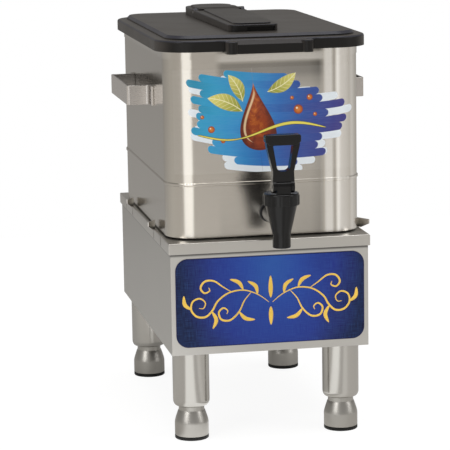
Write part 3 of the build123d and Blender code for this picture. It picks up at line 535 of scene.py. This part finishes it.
def brushMask(m, u, w, seed, grow=0.0):
    # bent rows of brush strokes, each with its own round ends; the odd factors of the row's
    # number only keep its random values apart
    bend = art["bend"] / art["bendSpan"] ** 2
    row = (w - (u * u) * bend + u * art["slope"]) / art["pitch"]
    number = row.calc("FLOOR")
    part = (row - number - 0.5) * 2.0
    level = (number + 0.5) * (art["pitch"] / (art["tall"] + grow))
    half = (1.0 - level * level).root() * art["reach"]
    jag, inward = art["jag"], art["jag"] * art["jagIn"]
    left = m.chance(number * 1.37 + seed) * jag + half - inward
    right = m.chance(number * 2.11 + seed + 7.3) * jag + half - inward
    cap = (1.0 - (1.0 - part * part).root()) * (art["pitch"] / 2)
    inside = (u + left).least(right - u) - cap
    along, across = art["bristles"]
    streak = m.noise(m.vector(u * along, w * across, seed), 1.0, 2.0)
    inside = inside + (streak - 0.5) * art["ragged"]
    shown = inside.rise(*art["edge"]) * level.size().fall(*art["lastRows"])
    return shown, streak, m.chance(number * 3.3 + seed)


def sweepPrint(m, u, w):
    # blue strokes over white ones that lie a little aside
    dx, dw = art["splash"]
    splash = brushMask(m, u - dx, w - dw, art["splashSeed"], art["splashGrow"])[0]
    sweep, streak, own = brushMask(m, u, w, art["sweepSeed"])
    blend = (u + art["sweepHalf"]) / (2 * art["sweepHalf"]) + (own - 0.5) * art["strokeTint"]
    blue = m.ramp(blend - w * art["sweepLean"], art["sweep"])
    blue = m.mix((streak - 0.5).size() * art["streakShare"], blue, art["streak"])
    return m.mix(sweep, art["white"], blue), splash.most(sweep)


def leafPrint(m, u, w, leaf):
    (cx, cz), angle, length, width = leaf
    turnX, turnY = math.cos(math.radians(angle)), math.sin(math.radians(angle))
    along = (u - cx) * turnX + (w - cz) * turnY
    bend = along * along * (art["leafBend"] / length)
    off = ((w - cz) * turnX - (u - cx) * turnY - bend).size()
    edge = (1.0 - along * along / length ** 2) * width - off
    lengthways, sideways = art["veins"]
    veins = (along * lengthways - off * sideways).wave().rise(*art["veinEdge"])
    veins = (veins * art["veinShare"]).most(off.fall(*art["midVein"]))
    paler = (along / (2 * length) + 0.5).rise(0.0, 1.0)
    green = m.mix(paler, art["leafDark"], art["leafLight"])
    return edge.rise(*art["leafEdge"]), m.mix(veins, green, art["vein"])


def dropShape(u, w, scale=1.0, shift=0.0):
    # how far inside the drop's edge a point lies, and how high up the drop it is
    drop = art["drop"]
    dropX, dropZ = drop["place"]
    up = (w - dropZ) / (drop["half"] * scale)
    side = (u - dropX - shift - (w - dropZ) * drop["lean"]).size()
    inner = up.least(1.0).most(-1.0)
    # this curve of the height reaches 1.3 where the drop is widest
    half = (1.0 - inner) * (1.0 - inner * inner).root() * (drop["wide"] * scale / 1.3)
    return half - side, inner, side / (half + 0.01)         # never divided by nothing


def dropPrint(m, u, w):
    # cloudy tea with bright flecks, and a pale crescent along the drop's left
    drop = art["drop"]
    inside, up, ratio = dropShape(u, w)
    coarse, fine = drop["clouds"], drop["flecks"]
    clouds = m.noise(m.vector(u * coarse, w * coarse, 2.0), 1.0, 4.0, 0.6, 1.2)
    flecks = m.noise(m.vector(u * fine, w * fine, 5.0), 1.0, 2.0).rise(*drop["fleckEdge"])
    cloudy, rim, flecked, upward = drop["shares"]
    depth = clouds * cloudy - ratio * ratio * rim + flecks * flecked + (up + 1.0) * upward
    outer, hollow = (dropShape(u, w, *drop[name])[0] for name in ("outer", "hollow"))
    crescent = outer.rise(*drop["glintEdge"]) * hollow.fall(*drop["glintEdge"])
    crescent = crescent * (u - drop["place"][0]).fall(*drop["glintSide"])
    tea = m.mix(crescent * drop["glintShare"], m.ramp(depth, art["tea"]), art["teaGlint"])
    return inside.rise(*art["edge"]), tea


def bubblePrint(m, u, w, bubble):
    # a ball that darkens to its rim, with a glint up on its left
    (cx, cz), radius = bubble
    far = ((u - cx) * (u - cx) + (w - cz) * (w - cz)).root()
    aside = radius * art["glintAside"]
    glintX, glintZ = u - cx + aside, w - cz - aside
    near = (radius * share for share in art["glintSize"])
    glint = (glintX * glintX + glintZ * glintZ).root().fall(*near)
    tint = m.mix(glint, m.ramp(far / radius, art["bubble"]), art["bubbleGlint"])
    return far.fall(radius - art["bubbleEdge"], radius + art["bubbleEdge"]), tint


def ribbonMasks(u, w):
    # a waving line that swells and thins, and the same with its dark edge
    ribbon = art["ribbon"]
    run = u / ribbon["reach"]
    swell = (u / (ribbon["step"] * 2.0) + ribbon["swellStart"]).wave().size()
    swell = swell * ribbon["swellShare"] + ribbon["swellLeast"]
    body = (1.0 - run * run).root() * swell * ribbon["thick"]
    rise = (u / ribbon["step"]).wave() * ribbon["rise"]
    away = (w - rise - ribbon["low"] - u * ribbon["slope"]).size()
    ends = run.size().fall(*ribbon["tips"])
    return [
        (body + wider - away).rise(*ribbon["soft"]) * ends
        for wider in (0.0, ribbon["edge"])
    ]


def filmPrint(name):
    m = Finish(name)
    steelColour, steelRough, normal = steelLook(m, tankTint, tankRough, "around")
    # the tank's painted reflections and painted shade also go on the steel under the film
    steelColour = m.mix(art["haze"], paintLightAndShade(m, steelColour, paintTankLight), (1.0, 1.0, 1.0))
    x, _, z = m.axes(m.place())
    u, w = x * perMetre - art["middle"][0], z * perMetre - art["middle"][1]
    colour, shown = sweepPrint(m, u, w)
    layers = [leafPrint(m, u, w, leaf) for leaf in art["leaves"]]
    layers.append(dropPrint(m, u, w))
    layers += [bubblePrint(m, u, w, bubble) for bubble in art["bubbles"]]
    for mask, tint in layers:
        colour, shown = m.mix(mask, colour, tint), shown.most(mask)
    ribbon, ribbonEdge = ribbonMasks(u, w)
    colour = m.mix(ribbonEdge, colour, art["ribbonEdge"])
    colour, shown = m.mix(ribbon, colour, art["ribbonTone"]), shown.most(ribbon)
    surface = m.shader(
        Base_Color=m.mix(shown, steelColour, colour), Metallic=1.0 - shown * art["metal"],
        Roughness=steelRough * (1.0 - shown) + shown * art["rough"], Normal=normal,
        Coat_Weight=shown * art["coat"], Coat_Roughness=art["coatRough"],
    )
    return m.done(surface)


# Sign on the stand's front, in mm: a blue weave that darkens outwards from near its top
sign = {
    "middle": 160.2, "half": (107.0, 50.0), "corner": 14.0,
    "glow": (3.0, 42.0), "glowReach": (112.0, 175.0), "warp": 0.22,
    "fade": [
        (0.00, tone(44, 88, 168)), (0.30, tone(36, 66, 154)), (0.60, tone(33, 48, 134)),
        (0.78, tone(26, 32, 96)), (0.92, tone(8, 10, 52)), (1.00, tone(4, 6, 44)),
    ],
    "clouds": 0.02,
    "thread": (2.6, 0.07), "threadTone": tone(70, 116, 190),
    "threadShare": 0.55, "threadLeast": 0.1,
    "edge": tone(24, 26, 74), "edgeShare": 0.8, "edgeAt": (-1.3, -0.7),
    "rough": 0.34, "roughShare": 0.08, "gloss": 0.22,
    "grain": 1600.0, "bump": 0.15, "grainDepth": 0.03 * mm,
}


def signPrint(name):
    m = Finish(name)
    placeX, _, placeZ = m.axes(m.place())
    x, z = placeX * perMetre, placeZ * perMetre - sign["middle"]
    glowX, glowZ = sign["glow"]
    reachX, reachZ = sign["glowReach"]
    sideways, down = (x - glowX) / reachX, (z - glowZ) / reachZ
    warp = m.noise(m.vector(x * sign["clouds"], z * sign["clouds"], 0.0), 1.0, 3.0)
    far = (sideways * sideways + down * down).root() + (warp - 0.5) * sign["warp"]
    fine, long = sign["thread"]
    upright = m.noise(m.vector(x * fine, z * long, 1.0), 1.0, 2.0)
    level = m.noise(m.vector(x * long, z * fine, 9.0), 1.0, 2.0)
    threads = (upright + level - 1.0) * sign["threadShare"] + sign["threadLeast"]
    blue = m.mix(threads, m.ramp(far, sign["fade"]), sign["threadTone"])
    halfX, halfZ = sign["half"]
    corner = sign["corner"]
    cornerX = (x.size() - (halfX - corner)).most(0.0)
    cornerZ = (z.size() - (halfZ - corner)).most(0.0)
    edgeLow, edgeHigh = [corner + edge for edge in sign["edgeAt"]]
    rim = (cornerX * cornerX + cornerZ * cornerZ).root().rise(edgeLow, edgeHigh)
    blue = m.mix(rim * sign["edgeShare"], blue, sign["edge"])
    grain = m.noise(m.place(), sign["grain"], 2.0)
    surface = m.shader(
        Base_Color=blue, Roughness=grain * sign["roughShare"] + sign["rough"],
        Normal=m.bump(grain, sign["bump"], sign["grainDepth"]),
        Specular_IOR_Level=sign["gloss"],
    )
    return m.done(surface)


finishes["filmPrint"] = filmPrint("filmPrint")
finishes["signPrint"] = signPrint("signPrint")
print("finishes made:", len(finishes))


def link(name, mesh):
    made = bpy.data.objects.new(name, mesh)
    bpy.context.scene.collection.objects.link(made)
    return made


def settle(obj):
    # modifiers into the mesh, then none left on the object
    graph = bpy.context.evaluated_depsgraph_get()
    mesh = bpy.data.meshes.new_from_object(obj.evaluated_get(graph))
    obj.modifiers.clear()
    obj.data = mesh
    return obj


sharpPast = {"softened": 40.0, "grown": 38.0}     # degrees at which an edge stays sharp


def smoothed(obj, angle):
    # shaded smooth but for sharp edges, with normals that follow the big faces
    obj.data.set_sharp_from_angle(angle=math.radians(angle))
    weighted = obj.modifiers.new("normals", "WEIGHTED_NORMAL")
    weighted.keep_sharp = True
    return settle(obj)


def dress(obj, finish, replaced=(), body=None):
    obj.data.materials.clear()
    obj.data.materials.append(finishes[finish])
    if replaced:
        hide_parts(*replaced)
    if body:
        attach(obj, body)


def bodyOf(node):
    return frame["nodes"][node]["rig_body"]


# CAD pieces that are kept but for their edges, which are rounded a little
corners = ("front_left", "front_right", "back_left", "back_right")
soft = {
    "doubles": 2e-6,                         # points nearer than this are one
    "sharp": 32.0,                           # edges that bend more degrees are rounded
    "feet": ["foot_pad_" + corner for corner in corners],
    "walls": ["stand_front", "stand_back", "stand_left", "stand_right"],
}
rounds = [
    # nodes, round in mm, finish, slot, and what differs from softCopy's own values
    (["stand_deck"], 0.25, "deckSteel", "stand_steel", {"clamp": False}),
    (soft["walls"], 0.3, "sheetSteel", "stand_steel", {"clamp": False}),
    (["leg_rail_front", "leg_rail_back"], 0.4, "deckSteel", "stand_steel", {"clamp": False}),
    (soft["feet"], 0.4, "padRubber", "foot_rubber", {}),
    (["tank_base"], 0.3, "baseSteel", "tank_steel", {"clamp": False}),
    (["tank_wall"], 0.25, "tankSteel", "tank_steel", {"sharp": 50.0}),
    (["handle_left", "handle_right"], 0.5, "gripSteel", "tank_steel",
     {"melt": 0.4, "clamp": False}),
    (["lid"], 0.7, "lidPlastic", "lid_plastic", {"steps": 3}),
    (["flip_cover"], 0.6, "lidPlastic", "lid_plastic", {"steps": 3}),
    (["tap_body"], 0.7, "tapPlastic", "tap_plastic", {"steps": 3}),
    (["tap_bonnet"], 0.5, "tapPlastic", "tap_plastic", {}),
    (["tap_handle"], 1.0, "tapPlastic", "tap_plastic", {"steps": 3}),
    (["sign_panel"], 0.2, "signPrint", "sign_print", {"clamp": False}),
]


def softCopy(node, width, steps=2, sharp=soft["sharp"], melt=0.0, clamp=True):
    # melt takes away edges that bend less than so many degrees; clamp keeps the rounds of
    # crowded edges from running into each other
    work = bmesh.new()
    work.from_mesh(frame["nodes"][node].data)
    bmesh.ops.remove_doubles(work, verts=work.verts, dist=soft["doubles"])
    if melt:
        limit = math.radians(melt)
        bmesh.ops.dissolve_limit(work, angle_limit=limit, verts=work.verts, edges=work.edges)
    mesh = bpy.data.meshes.new(node + "Soft")
    work.to_mesh(mesh)
    work.free()
    made = link(node + "Soft", mesh)
    bevel = made.modifiers.new("edges", "BEVEL")
    bevel.width = width
    bevel.segments = steps
    bevel.limit_method = "ANGLE"
    bevel.angle_limit = math.radians(sharp)
    bevel.use_clamp_overlap = clamp
    settle(made)
    made.data.shade_smooth()
    return smoothed(made, sharpPast["softened"])


for nodes, width, finish, slot, more in rounds:
    for node in nodes:
        dress(softCopy(node, width * mm, **more), finish, (node,), bodyOf(node))
print("sheet and plastic pieces softened")


def grown(name, tree, values, spots=((0, 0, 0),), edges=(), girth=None):
    # a mesh of points and edges, grown by a tree and kept as a plain mesh
    mesh = bpy.data.meshes.new(name)
    mesh.from_pydata([[c * mm for c in spot] for spot in spots], edges, [])
    if girth:
        kept = mesh.attributes.new("girth", "FLOAT", "POINT")
        kept.data.foreach_set("value", [g * mm for g in girth])
    made = link(name, mesh)
    growth = made.modifiers.new("growth", "NODES")
    growth.node_group = tree
    for item in tree.interface.items_tree:
        if item.in_out == "INPUT" and item.name in values:
            growth[item.identifier] = values[item.name]
    return settle(made)


def outward(obj):
    # all faces to the outside
    work = bmesh.new()
    work.from_mesh(obj.data)
    bmesh.ops.recalc_face_normals(work, faces=work.faces)
    work.to_mesh(obj.data)
    work.free()
    return smoothed(obj, sharpPast["grown"])


# Turned pieces: the legs' tubes and the feet, as a profile spun round an upright axis
turned = {
    "segments": 72, "merge": 0.01 * mm,      # merge closes the turn where it meets itself
    # radius and height of each profile point, from the top down the outside and up the inside
    "tube": [
        (5.1, 101.6), (20.3, 101.6), (20.65, 101.25), (20.65, 44.6), (20.45, 42.4),
        (19.75, 40.4), (18.6, 38.9), (17.1, 38.1), (15.6, 38.0), (15.2, 38.3), (15.2, 39.5),
        (19.15, 41.5), (19.15, 98.6), (5.1, 98.6), (5.1, 101.6),
    ],
    # the foot starts with the stud that goes up into the tube
    "foot": [
        (0.02, 73.5), (7.6, 73.5), (8.0, 73.1), (8.0, 44.2), (13.6, 44.2), (14.3, 43.6),
        (14.4, 33.2), (14.9, 32.0), (15.3, 31.7), (16.0, 29.6), (16.9, 27.0), (17.8, 24.2),
        (18.55, 21.6), (19.0, 19.6), (19.15, 18.2), (19.15, 5.0), (18.9, 4.1), (18.2, 3.6),
        (0.02, 3.6),
    ],
    # for each kind: the start of its nodes' names, its finish, its slot
    "kinds": {
        "tube": ("leg_tube_", "legSteel", "leg_steel"),
        "foot": ("foot_", "footSteel", "foot_steel"),
    },
}


def turnedTree(name, finish):
    # a grid with one column for each segment, whose rows take the profile's radius and height
    g = Growth(name, {"Segments": ("Int", 72), "Place": ("Vector", (0, 0, 0))})
    profile, segments = g.given("Geometry"), g.given("Segments")
    size = g.node("GeometryNodeAttributeDomainSize", {"component": "MESH"}, {"Geometry": profile})
    values = {"Vertices X": segments + 1.0, "Vertices Y": size}
    grid = g.node("GeometryNodeMeshGrid", {}, values)
    index = g.node("GeometryNodeInputIndex")
    column = ((index + 0.5) / size).calc("FLOOR")
    row = index - column * size
    values = {"Geometry": profile, "Value": g.node("GeometryNodeInputPosition"), "Index": row}
    spot = g.node("GeometryNodeSampleIndex", {"data_type": "FLOAT_VECTOR"}, values)
    radius, _, height = g.axes(spot)
    angle = column / segments * (2 * math.pi)
    wound = g.vector(angle.calc("COSINE") * radius, angle.wave() * radius, height)
    skin = g.node("GeometryNodeSetPosition", {}, {"Geometry": grid, "Position": wound})
    values = {"Geometry": skin, "Distance": turned["merge"]}
    skin = g.node("GeometryNodeMergeByDistance", {}, values)
    skin = g.node("GeometryNodeSetShadeSmooth", {}, {"Geometry": skin})
    values = {"Geometry": skin, "Translation": g.given("Place")}
    return g.closed(g.node("GeometryNodeTransform", {}, values), finish)


trees = {
    kind: turnedTree(kind + "Turning", finishes[finish])
    for kind, (start, finish, slot) in turned["kinds"].items()
}
for corner in corners:
    low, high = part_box("leg_tube_" + corner)
    middle = ((low[0] + high[0]) / 2, (low[1] + high[1]) / 2, 0.0)
    values = {"Segments": turned["segments"], "Place": middle}
    for kind, (start, finish, slot) in turned["kinds"].items():
        spots = [(radius, 0.0, height) for radius, height in turned[kind]]
        edges = [(i, i + 1) for i in range(len(spots) - 1)]
        made = outward(grown(kind + "Turned_" + corner, trees[kind], values, spots, edges))
        dress(made, finish, (start + corner,), bodyOf(start + corner))
print("legs and feet turned")

# Screws of the back panel: a grid of low heads with a cross cut in each
screw = {
    "radius": 3.2, "top": 2.3, "height": 1.4, "cross": (3.6, 0.8, 1.0),
    "sides": 32, "columns": 3, "rows": 2,
}


def screwTree(name, finish):
    g = Growth(name, {
        "Width": ("Float", 0.1), "Height": ("Float", 0.1), "Place": ("Vector", (0, 0, 0)),
        "Columns": ("Int", 3), "Rows": ("Int", 2),
    })
    values = {
        "Size X": g.given("Width"), "Size Y": g.given("Height"),
        "Vertices X": g.given("Columns"), "Vertices Y": g.given("Rows"),
    }
    grid = g.node("GeometryNodeMeshGrid", {}, values)
    values = {
        "Vertices": screw["sides"], "Side Segments": 1, "Radius Top": screw["top"] * mm,
        "Radius Bottom": screw["radius"] * mm, "Depth": screw["height"] * mm,
    }
    head = g.node("GeometryNodeMeshCone", {}, values)
    long, wide, deep = (c * mm for c in screw["cross"])
    for size in ((long, wide, deep), (wide, long, deep)):
        bar = g.node("GeometryNodeMeshCube", {}, {"Size": size})
        values = {"Geometry": bar, "Translation": (0, 0, screw["height"] * mm)}
        lifted = g.node("GeometryNodeTransform", {}, values)
        settings = {"operation": "DIFFERENCE", "solver": "EXACT"}
        head = g.node("GeometryNodeMeshBoolean", settings, {0: head, 1: lifted})
    heads = g.node("GeometryNodeInstanceOnPoints", {}, {"Points": grid, "Instance": head})
    backwards = (-math.pi / 2, 0, 0)
    values = {"Geometry": heads, "Translation": g.given("Place"), "Rotation": backwards}
    return g.closed(g.node("GeometryNodeTransform", {}, values), finish)


low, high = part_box("back_screws")
inset = 2 * screw["radius"] * mm
values = {
    "Width": high[0] - low[0] - inset, "Height": high[2] - low[2] - inset,
    "Place": (0.0, low[1], (low[2] + high[2]) / 2),
    "Columns": screw["columns"], "Rows": screw["rows"],
}
made = outward(grown("backScrewHeads", screwTree("screwGrid", finishes["fixingSteel"]), values))
dress(made, "fixingSteel", ("back_screws",), bodyOf("back_screws"))
print("screws set")

# Return spring in the tap, wound to fill the CAD spring's place
spring = {"turns": 6.0, "wire": 0.6, "stepsPerTurn": 40, "sides": 10}


def springTree(name, finish):
    g = Growth(name, {
        "Turns": ("Float", 6.0), "Radius": ("Float", 0.005), "Height": ("Float", 0.02),
        "Wire": ("Float", 0.0006), "Place": ("Vector", (0, 0, 0)),
    })
    radius = g.given("Radius")
    values = {
        "Resolution": spring["stepsPerTurn"], "Rotations": g.given("Turns"),
        "Start Radius": radius, "End Radius": radius, "Height": g.given("Height"),
    }
    coil = g.node("GeometryNodeCurveSpiral", {}, values)
    values = {"Resolution": spring["sides"], "Radius": g.given("Wire")}
    ring = g.node("GeometryNodeCurvePrimitiveCircle", {}, values)
    values = {"Curve": coil, "Profile Curve": ring, "Fill Caps": True}
    wire = g.node("GeometryNodeCurveToMesh", {}, values)
    wire = g.node("GeometryNodeSetShadeSmooth", {}, {"Geometry": wire})
    values = {"Geometry": wire, "Translation": g.given("Place")}
    return g.closed(g.node("GeometryNodeTransform", {}, values), finish)


low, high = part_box("tap_spring")
wire = spring["wire"] * mm
middle = ((low[0] + high[0]) / 2, (low[1] + high[1]) / 2)
values = {
    "Turns": spring["turns"], "Radius": (high[0] - low[0]) / 2 - wire, "Wire": wire,
    "Height": high[2] - low[2] - 2 * wire, "Place": (*middle, low[2] + wire),
}
made = outward(grown("returnSpring", springTree("springCoil", finishes["fixingSteel"]), values))
dress(made, "fixingSteel", ("tap_spring",))
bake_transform(made)
print("spring wound")

# Flourish on the sign: scrolls and leaves drawn with a pen that swells in the middle of a
# stroke. It is given for one side, in mm from the sign's middle
flourish = {
    "scrolls": [
        [(2, -3), (14, 6), (30, 12), (47, 10), (60, 1), (66, -9), (74, -16), (84, -15),
         (90, -7), (88, 2), (80, 5), (74, 0), (76, -6), (81, -6)],
        [(22, 9.5), (30, 0), (36, -12), (46, -21), (56, -20), (59, -12), (54, -7), (49, -10),
         (50, -14)],
        [(44, 10.5), (54, 17), (64, 24), (74, 24), (79, 17), (75, 11), (69, 13), (70, 17)],
    ],
    "leaves": [
        [(31, 12.5), (36, 21), (46, 25)], [(15, 6.5), (17, 16), (26, 22)],
        [(36, -12), (29, -20), (18, -22)], [(67, -10), (62, -20), (66, -30)],
        [(90, -7), (97, -1), (98, 9)],
    ],
    "middle": [[(0, 2), (0.01, 13), (0, 27)], [(0, -8), (0.01, -17), (0, -29)]],
    # half width of each kind of stroke at its middle, and the share of it at its ends
    "scrollPen": (1.2, 0.22), "leafPen": (2.3, 0.03), "middlePen": (2.645, 0.03),
    "swell": 0.8, "lift": 0.12, "steps": 7, "sides": 10,
}


def bentChain(points):
    # a smooth chain of spots through all the points
    ends = [points[0], *points, points[-1]]
    chain = []
    for a, b, c, d in zip(ends, ends[1:], ends[2:], ends[3:]):
        for step in range(flourish["steps"]):
            t = step / flourish["steps"]
            chain.append([
                0.5 * (2 * q + (r - p) * t + (2 * p - 5 * q + 4 * r - v) * t * t
                       + (3 * q - p - 3 * r + v) * t ** 3)
                for p, q, r, v in zip(a, b, c, d)
            ])
    return [*chain, list(points[-1])]


def penTree(name, finish):
    g = Growth(name, {"Lift": ("Float", 0.1), "Place": ("Vector", (0, 0, 0))})
    line = g.node("GeometryNodeMeshToCurve", {}, {"Mesh": g.given("Geometry")})
    girth = g.node("GeometryNodeInputNamedAttribute", {"data_type": "FLOAT"}, {"Name": "girth"})
    values = {"Resolution": flourish["sides"], "Radius": 1.0}
    nib = g.node("GeometryNodeCurvePrimitiveCircle", {}, values)
    values = {"Curve": line, "Profile Curve": nib, "Scale": girth, "Fill Caps": True}
    ink = g.node("GeometryNodeCurveToMesh", {}, values)
    ink = g.node("GeometryNodeSetShadeSmooth", {}, {"Geometry": ink})
    flattened = g.vector(1.0, g.given("Lift"), 1.0)
    values = {"Geometry": ink, "Translation": g.given("Place"), "Scale": flattened}
    return g.closed(g.node("GeometryNodeTransform", {}, values), finish)


def drawFlourish():
    strokes = []
    for side in (-1, 1):
        for kind, pen in (("scrolls", "scrollPen"), ("leaves", "leafPen")):
            for points in flourish[kind]:
                strokes.append(([(side * x, z) for x, z in points], flourish[pen]))
    strokes += [(points, flourish["middlePen"]) for points in flourish["middle"]]
    spots, edges, girth = [], [], []
    for points, (pen, ends) in strokes:
        chain = bentChain(points)
        first = len(spots)
        for number, (x, z) in enumerate(chain):
            along = number / (len(chain) - 1)
            swell = math.sin(math.pi * along) ** flourish["swell"]
            spots.append((x, 0.0, z))
            girth.append(pen * (ends + (1 - ends) * swell))
        edges += [(first + i, first + i + 1) for i in range(len(chain) - 1)]
    low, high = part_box("sign_panel")
    values = {"Lift": flourish["lift"], "Place": (0.0, low[1], (low[2] + high[2]) / 2)}
    tree = penTree("penStroke", finishes["inkYellow"])
    made = grown("signFlourish", tree, values, spots, edges, girth)
    dress(made, "inkYellow", body="stand")


drawFlourish()
print("flourish drawn")

# CAD pieces that stay as they are and get their finish
plain = {
    "fixingSteel": ["leg_bolts", "cover_pin", *("leg_insert_" + corner for corner in corners)],
    "baseSteel": ["tank_floor"],
    "filmPrint": ["print_film"],
    "tapPlastic": ["handle_pin", "tap_stem"],
    "nutPlastic": ["wing_nut"],
    "padRubber": ["tank_pads"],
    "sealRubber": ["seat_cup", "inner_washer"],
    "darkRubber": ["outer_washer"],
}
for finish, nodes in plain.items():
    for node in nodes:
        mesh = frame["nodes"][node].data
        mesh.materials.clear()
        mesh.materials.append(finishes[finish])

view = {
    "place": (-0.4993, -2.5225, 0.6704),
    "azimuth": -10.717, "elevation": 9.962, "roll": -0.914,
    "lens": 178.12, "sensor": 36.0, "farthest": 50.0,
}


def addCamera():
    turns = [math.radians(view[key]) for key in ("azimuth", "elevation", "roll")]
    azimuth, elevation, roll = turns
    back = Vector((
        math.sin(azimuth) * math.cos(elevation),
        -math.cos(azimuth) * math.cos(elevation),
        math.sin(elevation),
    ))
    right = (-back).cross(Vector((0, 0, 1))).normalized()
    up = right.cross(-back)
    across = right * math.cos(roll) + up * math.sin(roll)
    above = up * math.cos(roll) - right * math.sin(roll)
    data = bpy.data.cameras.new("camera")
    data.lens = view["lens"]
    data.sensor_width = view["sensor"]
    data.clip_end = view["farthest"]
    camera = link("camera", data)
    turn = Matrix((across, above, back)).transposed().to_4x4()
    camera.matrix_world = Matrix.Translation(view["place"]) @ turn
    bpy.context.scene.camera = camera


studio = {
    "floorSize": 2.4, "floorGrain": 30.0,
    "floorColour": (0.86, 0.855, 0.845), "floorMottle": 0.985,
    # how much of its own light the camera and a mirror see on the floor, and how bright it is
    "floorWhite": 0.82, "floorGlow": 1.10,
    "floorMirror": 0.72, "floorLevel": 0.86,
    "diffuseLevel": 0.46,
    # what metal sees round it, by bearing: 0 is straight behind the object, 0.5 is the front
    "surround": [
        (0.000, (0.37, 0.36, 0.345)),
        (0.050, (0.37, 0.36, 0.345)),
        (0.244, (0.70, 0.68, 0.64)),
        (0.378, (0.64, 0.61, 0.57)),
        (0.392, (1.70, 1.70, 1.68)),
        (0.484, (1.70, 1.70, 1.68)),
        (0.496, (0.70, 0.675, 0.64)),
        (0.530, (0.60, 0.575, 0.545)),
        (0.5345, (0.58, 0.555, 0.525)),
        (0.538, (1.00, 0.98, 0.94)),
        (0.575, (1.00, 0.98, 0.94)),
        (0.600, (0.74, 0.71, 0.67)),
        (0.800, (0.62, 0.60, 0.57)),
        (1.000, (0.37, 0.36, 0.345)),
    ],
    # above the skyline it is the same all round
    "skyline": (-0.02, 0.12), "above": (0.42, 0.41, 0.395),
    # how bright it is by height: 0 looks down at 30 degrees, 1 looks straight up
    "lowest": -0.5, "levels": grey([
        (0.00, 1.10), (0.20, 1.04), (0.27, 0.88), (0.34, 0.74), (0.60, 0.80), (1.00, 1.10),
    ]),
}


def addFloor():
    half = studio["floorSize"] / 2
    mesh = bpy.data.meshes.new("floor")
    spots = [(-half, -half, 0), (half, -half, 0), (half, half, 0), (-half, half, 0)]
    mesh.from_pydata(spots, [], [(0, 1, 2, 3)])
    floor = link("floor", mesh)
    m = Finish("floorPaper")
    pale = studio["floorColour"]
    mottle = m.noise(m.place(), studio["floorGrain"])
    colour = m.mix(mottle, shade(pale, studio["floorMottle"]), pale)
    paper = m.node("ShaderNodeBsdfDiffuse", {}, {"Color": colour})
    x, y, _ = m.axes(m.place())
    seen, mirror = m.rays("Is Camera Ray", "Is Glossy Ray")
    values = {0: m.surround(x, y), "Scale": studio["floorLevel"]}
    around = m.node("ShaderNodeVectorMath", {"operation": "SCALE"}, values)
    light = m.mix(seen, around, [studio["floorGlow"]] * 3)
    glow = m.node("ShaderNodeEmission", {}, {"Color": light})
    share = seen * studio["floorWhite"] + mirror * studio["floorMirror"] * (1.0 - seen)
    both = m.node("ShaderNodeMixShader", {}, {0: share, 1: paper, 2: glow})
    mesh.materials.append(m.done(both))


class Sky(Finish):
    # the world's nodes, made as a material's are
    outlet = "ShaderNodeOutputWorld"

    def __init__(self, name):
        self.data = bpy.data.worlds.new(name)
        self.data.use_nodes = True
        self.tree = self.data.node_tree
        self.tree.nodes.clear()


def addWorld():
    m = Sky("studio")
    x, y, z = m.axes(m.node("ShaderNodeTexCoord", output="Generated"))
    surround = m.mix(z.rise(*studio["skyline"]), m.surround(x, y), studio["above"])
    height = (z - studio["lowest"]) / (1.0 - studio["lowest"])
    values = {0: surround, 1: m.ramp(height, studio["levels"])}
    mirrored = m.node("ShaderNodeVectorMath", {"operation": "MULTIPLY"}, values)
    seen, mirror, through = m.rays("Is Camera Ray", "Is Glossy Ray", "Is Transmission Ray")
    light = m.mix(mirror, [studio["diffuseLevel"]] * 3, mirrored)
    light = m.mix(seen.most(through), light, (1.0, 1.0, 1.0))
    bpy.context.scene.world = m.done(
        m.node("ShaderNodeBackground", {}, {"Color": light, "Strength": 1.0})
    )


lamps = {
    "top": {"place": (0.2, -0.3, 2.6), "aim": (0, 0, 0.3), "size": (1.8, 1.8), "power": 34.0},
    "left": {"place": (-2.2, -1.9, 1.6), "aim": (0, 0, 0.25), "size": (1.2, 1.8), "power": 24.0},
    "right": {"place": (2.3, -1.4, 1.3), "aim": (0, 0, 0.25), "size": (1.0, 1.6), "power": 12.0},
}


def addLamps():
    for name, lamp in lamps.items():
        data = bpy.data.lights.new(name, "AREA")
        data.shape = "RECTANGLE"
        data.size, data.size_y = lamp["size"]
        data.energy = lamp["power"]
        place = Vector(lamp["place"])
        turn = (Vector(lamp["aim"]) - place).to_track_quat("-Z", "Y").to_matrix().to_4x4()
        link(name, data).matrix_world = Matrix.Translation(place) @ turn


addCamera()
addFloor()
addWorld()
addLamps()
bpy.context.scene.view_settings.view_transform = "Standard"
print("studio set")
